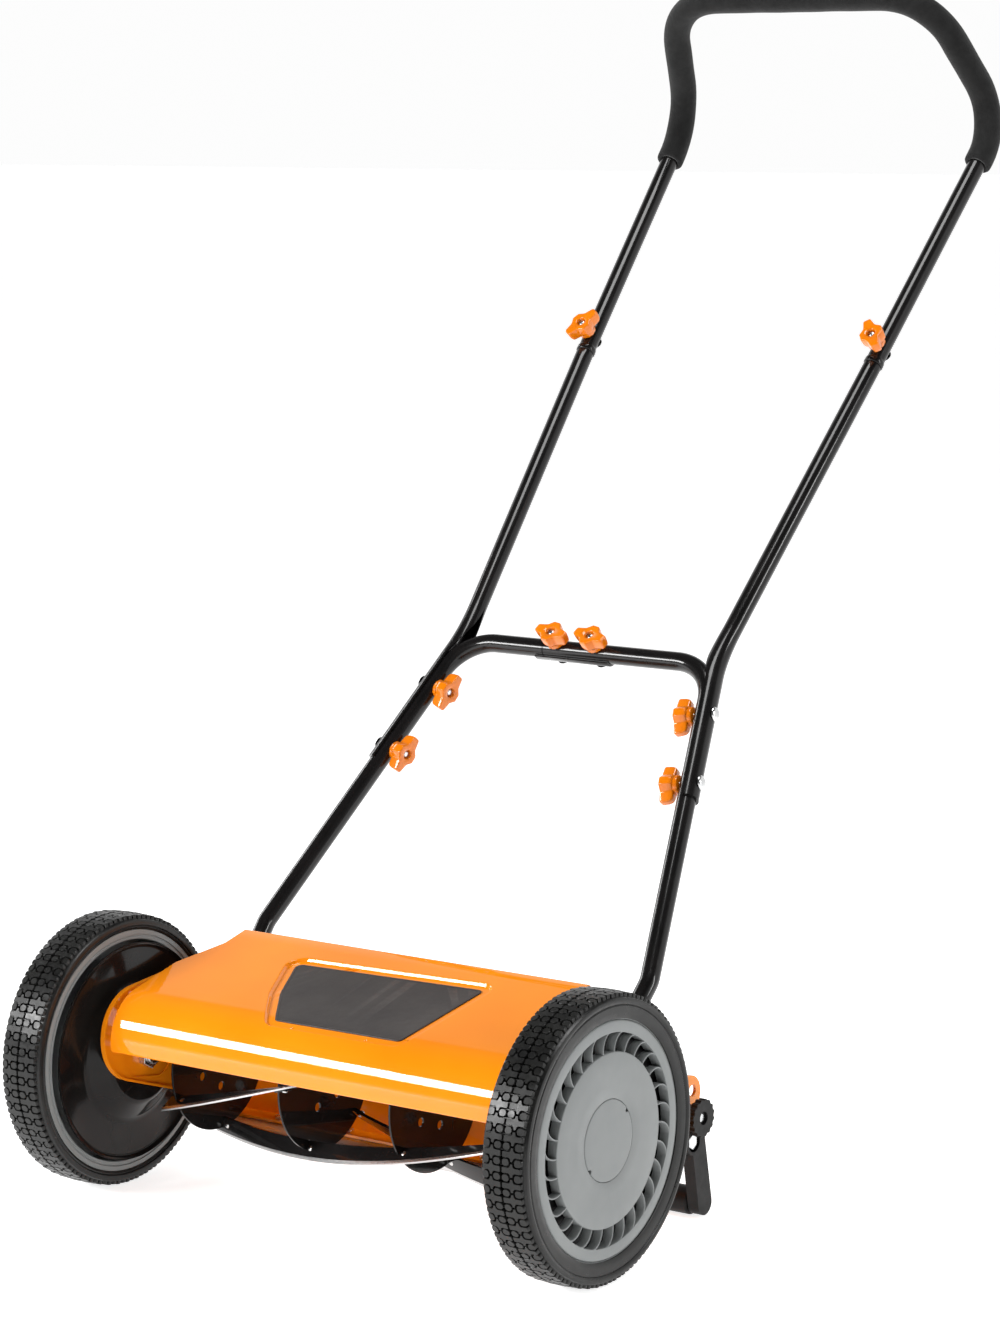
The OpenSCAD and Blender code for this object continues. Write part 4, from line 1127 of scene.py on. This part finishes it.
def make_blades():
    """Twisted strips, painted black, with a bright ground cutting edge."""
    half, steps = BLADE_T / 2, 96
    section = [(BLADE_IN, -half), (BLADE_OUT - 3.2 * MM, -half), (BLADE_OUT - 0.15 * MM, -half * 0.35),
               (BLADE_OUT, -half * 0.2), (BLADE_OUT, half * 0.85), (BLADE_OUT - 0.2 * MM, half),
               (BLADE_IN, half)]
    ground = (1, 2, 3, 4)
    finish = [MATERIAL["black_enamel"], MATERIAL["ground_steel"]]
    for k in range(BLADES):
        shape = Shape()
        rings = []
        for i in range(steps + 1):
            x = -CUT_HALF + 2 * CUT_HALF * i / steps
            rings.append([reel_point(x, r, a, blade_angle(k, x)) for r, a in section])
        n = len(section)
        for j in range(n):
            slot = 1 if j in ground else 0
            for i in range(steps):
                quad = [rings[i][j], rings[i][(j + 1) % n], rings[i + 1][(j + 1) % n], rings[i + 1][j]]
                shape.add(quad, [[0, 1, 2, 3]], slot)
        shape.add(rings[0], [list(range(n))[::-1]], 1)
        shape.add(rings[-1], [list(range(n))], 1)
        weld(shape)
        shape.piece(f"blade_{k + 1}", finish, "black_enamel", "reel", [f"reel_blade_{k + 1}"], sharp=25)


def weld(shape):
    """Joins points of a shape that lie in one place."""
    index, verts, moved = {}, [], []
    for v in shape.verts:
        key = tuple(round(c * 1e7) for c in v)
        if key not in index:
            index[key] = len(verts)
            verts.append(v)
        moved.append(index[key])
    shape.verts = verts
    shape.faces = [[moved[i] for i in f] for f in shape.faces]


def make_rivets():
    """Domed rivets and bent tabs that hold the blades to the discs."""
    tabs, rivets = Shape(), Shape()
    low, high = BLADE_T / 2 + 0.05 * MM, BLADE_T / 2 + 1.5 * MM
    tab = rounded([(-1, 57), (11, 57), (11, 69), (-1, 69)], [0, 3, 3, 0], 4)
    rivet_x, rivet_r = 6, 63 * MM
    dome = [(2.9, -0.2), (2.9, 0.3), (2.5, 0.9), (1.5, 1.4), (0.4, 1.55)]
    back = [(2.4, -0.2), (2.4, 0.25), (1.9, 0.6), (0.4, 0.7)]
    for i in range(DISCS):
        x = (i - (DISCS - 1) / 2) * DISC_PITCH
        for k in range(BLADES):
            tabs.loops([[reel_point(x + dx, r * MM, across, blade_angle(k, x + dx)) for dx, r in tab]
                        for across in (low, high)])
            a = blade_angle(k, x + rivet_x)
            axis = Vector((0, -math.sin(a), math.cos(a)))
            for profile, across, way in ((dome, high, axis), (back, -BLADE_T / 2, -axis)):
                at = reel_point(x + rivet_x, rivet_r, across, a)
                solid_lathe(rivets, at, metres(profile), 20, way)
    tabs.piece("blade_tabs", MATERIAL["black_enamel"], "black_enamel", "reel", bevel=(0.25 * MM, 40))
    rivets.piece("blade_rivets", MATERIAL["zinc_steel"], "zinc_steel", "reel", sharp=50)


# ---------------------------------------------------------------- CAD parts with eased edges
# Width of each CAD part's rounded edges, in millimetres
EDGE = {"side_plate_right": 0.9, "side_plate_left": 0.9, "bed_bar": 0.5, "bed_knife": 0.3,
        "chassis_bolts": 0.35, "stub_axle_right": 0.5, "stub_axle_left": 0.5, "axle_fasteners": 0.6,
        "reel_bearings": 0.5, "handle_pins": 0.5, "adjuster_pivots": 0.6, "reel_discs": 0.5,
        "reel_shaft": 0.4, "ratchet_pawls": 0.3, "height_bracket_right": 1.3, "height_bracket_left": 1.3,
        "adjuster_bolts": 0.6, "roller_axle": 0.5, "roller": 0.8, "adjuster_knob_right": 0.7,
        "adjuster_knob_left": 0.7, "hub_bush_right": 0.3, "hub_bush_left": 0.3}
SLOT_OF = {part["node"]: part["material_slot"] for part in frame["record"]["subparts"]}
BODY_OF = {node: body for body, nodes in frame["record"]["behaviour"]["bodies"].items() for node in nodes}


def ease_edges(node, width):
    """Remakes a CAD part with clean faces and rounded edges."""
    build = bmesh.new()
    build.from_mesh(frame["nodes"][node].data)
    bmesh.ops.remove_doubles(build, verts=build.verts, dist=1e-6)
    bmesh.ops.dissolve_limit(build, angle_limit=math.radians(1.5), verts=build.verts, edges=build.edges)
    build.verts.index_update()
    shape = Shape()
    shape.add([v.co.copy() for v in build.verts], [[v.index for v in f.verts] for f in build.faces])
    build.free()
    shape.piece("eased_" + node, MATERIAL[SLOT_OF[node]], SLOT_OF[node], BODY_OF[node], [node],
                bevel=(width * MM, 40))


# ---------------------------------------------------------------- studio
def area_light(name, at, look, size, power):
    data = bpy.data.lights.new(name, "AREA")
    data.shape, data.size, data.size_y = "RECTANGLE", size[0], size[1]
    data.energy = power
    lamp = bpy.data.objects.new(name, data)
    bpy.context.scene.collection.objects.link(lamp)
    lamp.location = at
    lamp.rotation_euler = (Vector(look) - Vector(at)).to_track_quat("-Z", "Y").to_euler()


def make_world():
    """Pale walls behind the mower that darken towards the ceiling, and a dark room in front of it."""
    world = bpy.data.worlds.new("studio")
    bpy.context.scene.world = world
    world.use_nodes = True
    nodes, links = world.node_tree.nodes, world.node_tree.links
    coords = nodes.new("ShaderNodeTexCoord").outputs["Generated"]
    split = nodes.new("ShaderNodeSeparateXYZ")
    links.new(coords, split.inputs["Vector"])
    wall = nodes.new("ShaderNodeValToRGB")
    links.new(split.outputs["Z"], wall.inputs["Fac"])
    stops = wall.color_ramp.elements
    stops[0].position, stops[0].color = 0.0, (0.98, 0.98, 0.98, 1)
    stops[1].position, stops[1].color = 0.45, (0.98, 0.98, 0.98, 1)
    for at, level in ((0.64, 0.12), (1.0, 0.07)):
        stops.new(at).color = (level, level, level, 1)
    depth = nodes.new("ShaderNodeMapRange")
    links.new(split.outputs["Y"], depth.inputs["Value"])
    for name, value in (("From Min", -0.25), ("From Max", 0.2), ("To Min", 0.16), ("To Max", 1.0)):
        depth.inputs[name].default_value = value
    links.new(wall.outputs["Color"], nodes["Background"].inputs["Color"])
    links.new(depth.outputs["Result"], nodes["Background"].inputs["Strength"])


def make_studio():
    size = 60.0
    corners = [(-size, -size, 0), (size, -size, 0), (size, size, 0), (-size, size, 0)]
    floor = new_piece("studio_floor", corners, [[0, 1, 2, 3]], floor_paper(), smooth=False)
    make_world()
    area_light("key_softbox", (-1.64, -2.445, 1.2), (0.0, -0.35, 0.2), (1.4, 0.62), 84)
    area_light("top_softbox", (0.3, -0.2, 3.4), (0.0, -0.1, 0.2), (1.6, 1.2), 60)
    area_light("right_strip", (2.9, 0.5, 1.3), (0.1, 0.0, 0.5), (0.3, 1.6), 22)
    area_light("left_strip", (-2.9, 0.2, 1.3), (0.0, 0.1, 0.5), (0.3, 1.6), 14)


CAMERA_AT, CAMERA_LENS = (2.0982, -2.972835, 0.9812), 104.5
CAMERA_RIGHT, CAMERA_BACK = (0.8065, 0.5912, 0.0015), (0.5853, -0.7987, 0.1398)


def make_camera():
    data = bpy.data.cameras.new("camera")
    data.lens, data.sensor_width, data.sensor_fit = CAMERA_LENS, 36.0, "AUTO"
    data.clip_end = 200.0
    camera = bpy.data.objects.new("camera", data)
    bpy.context.scene.collection.objects.link(camera)
    back = Vector(CAMERA_BACK).normalized()
    up = back.cross(Vector(CAMERA_RIGHT)).normalized()
    right = up.cross(back)
    turn = Matrix((right, up, back)).transposed().to_4x4()
    camera.matrix_world = Matrix.Translation(CAMERA_AT) @ turn
    bpy.context.scene.camera = camera
    bpy.context.scene.view_settings.view_transform = "Standard"


make_camera()
make_studio()
make_wheels()
make_lower_tubes()
make_upper_tube()
make_grip()
make_middle_tubes()
make_knobs()
make_handle_bolts()
make_cover()
make_badge()
make_blades()
make_rivets()
for node, width in EDGE.items():
    ease_edges(node, width)
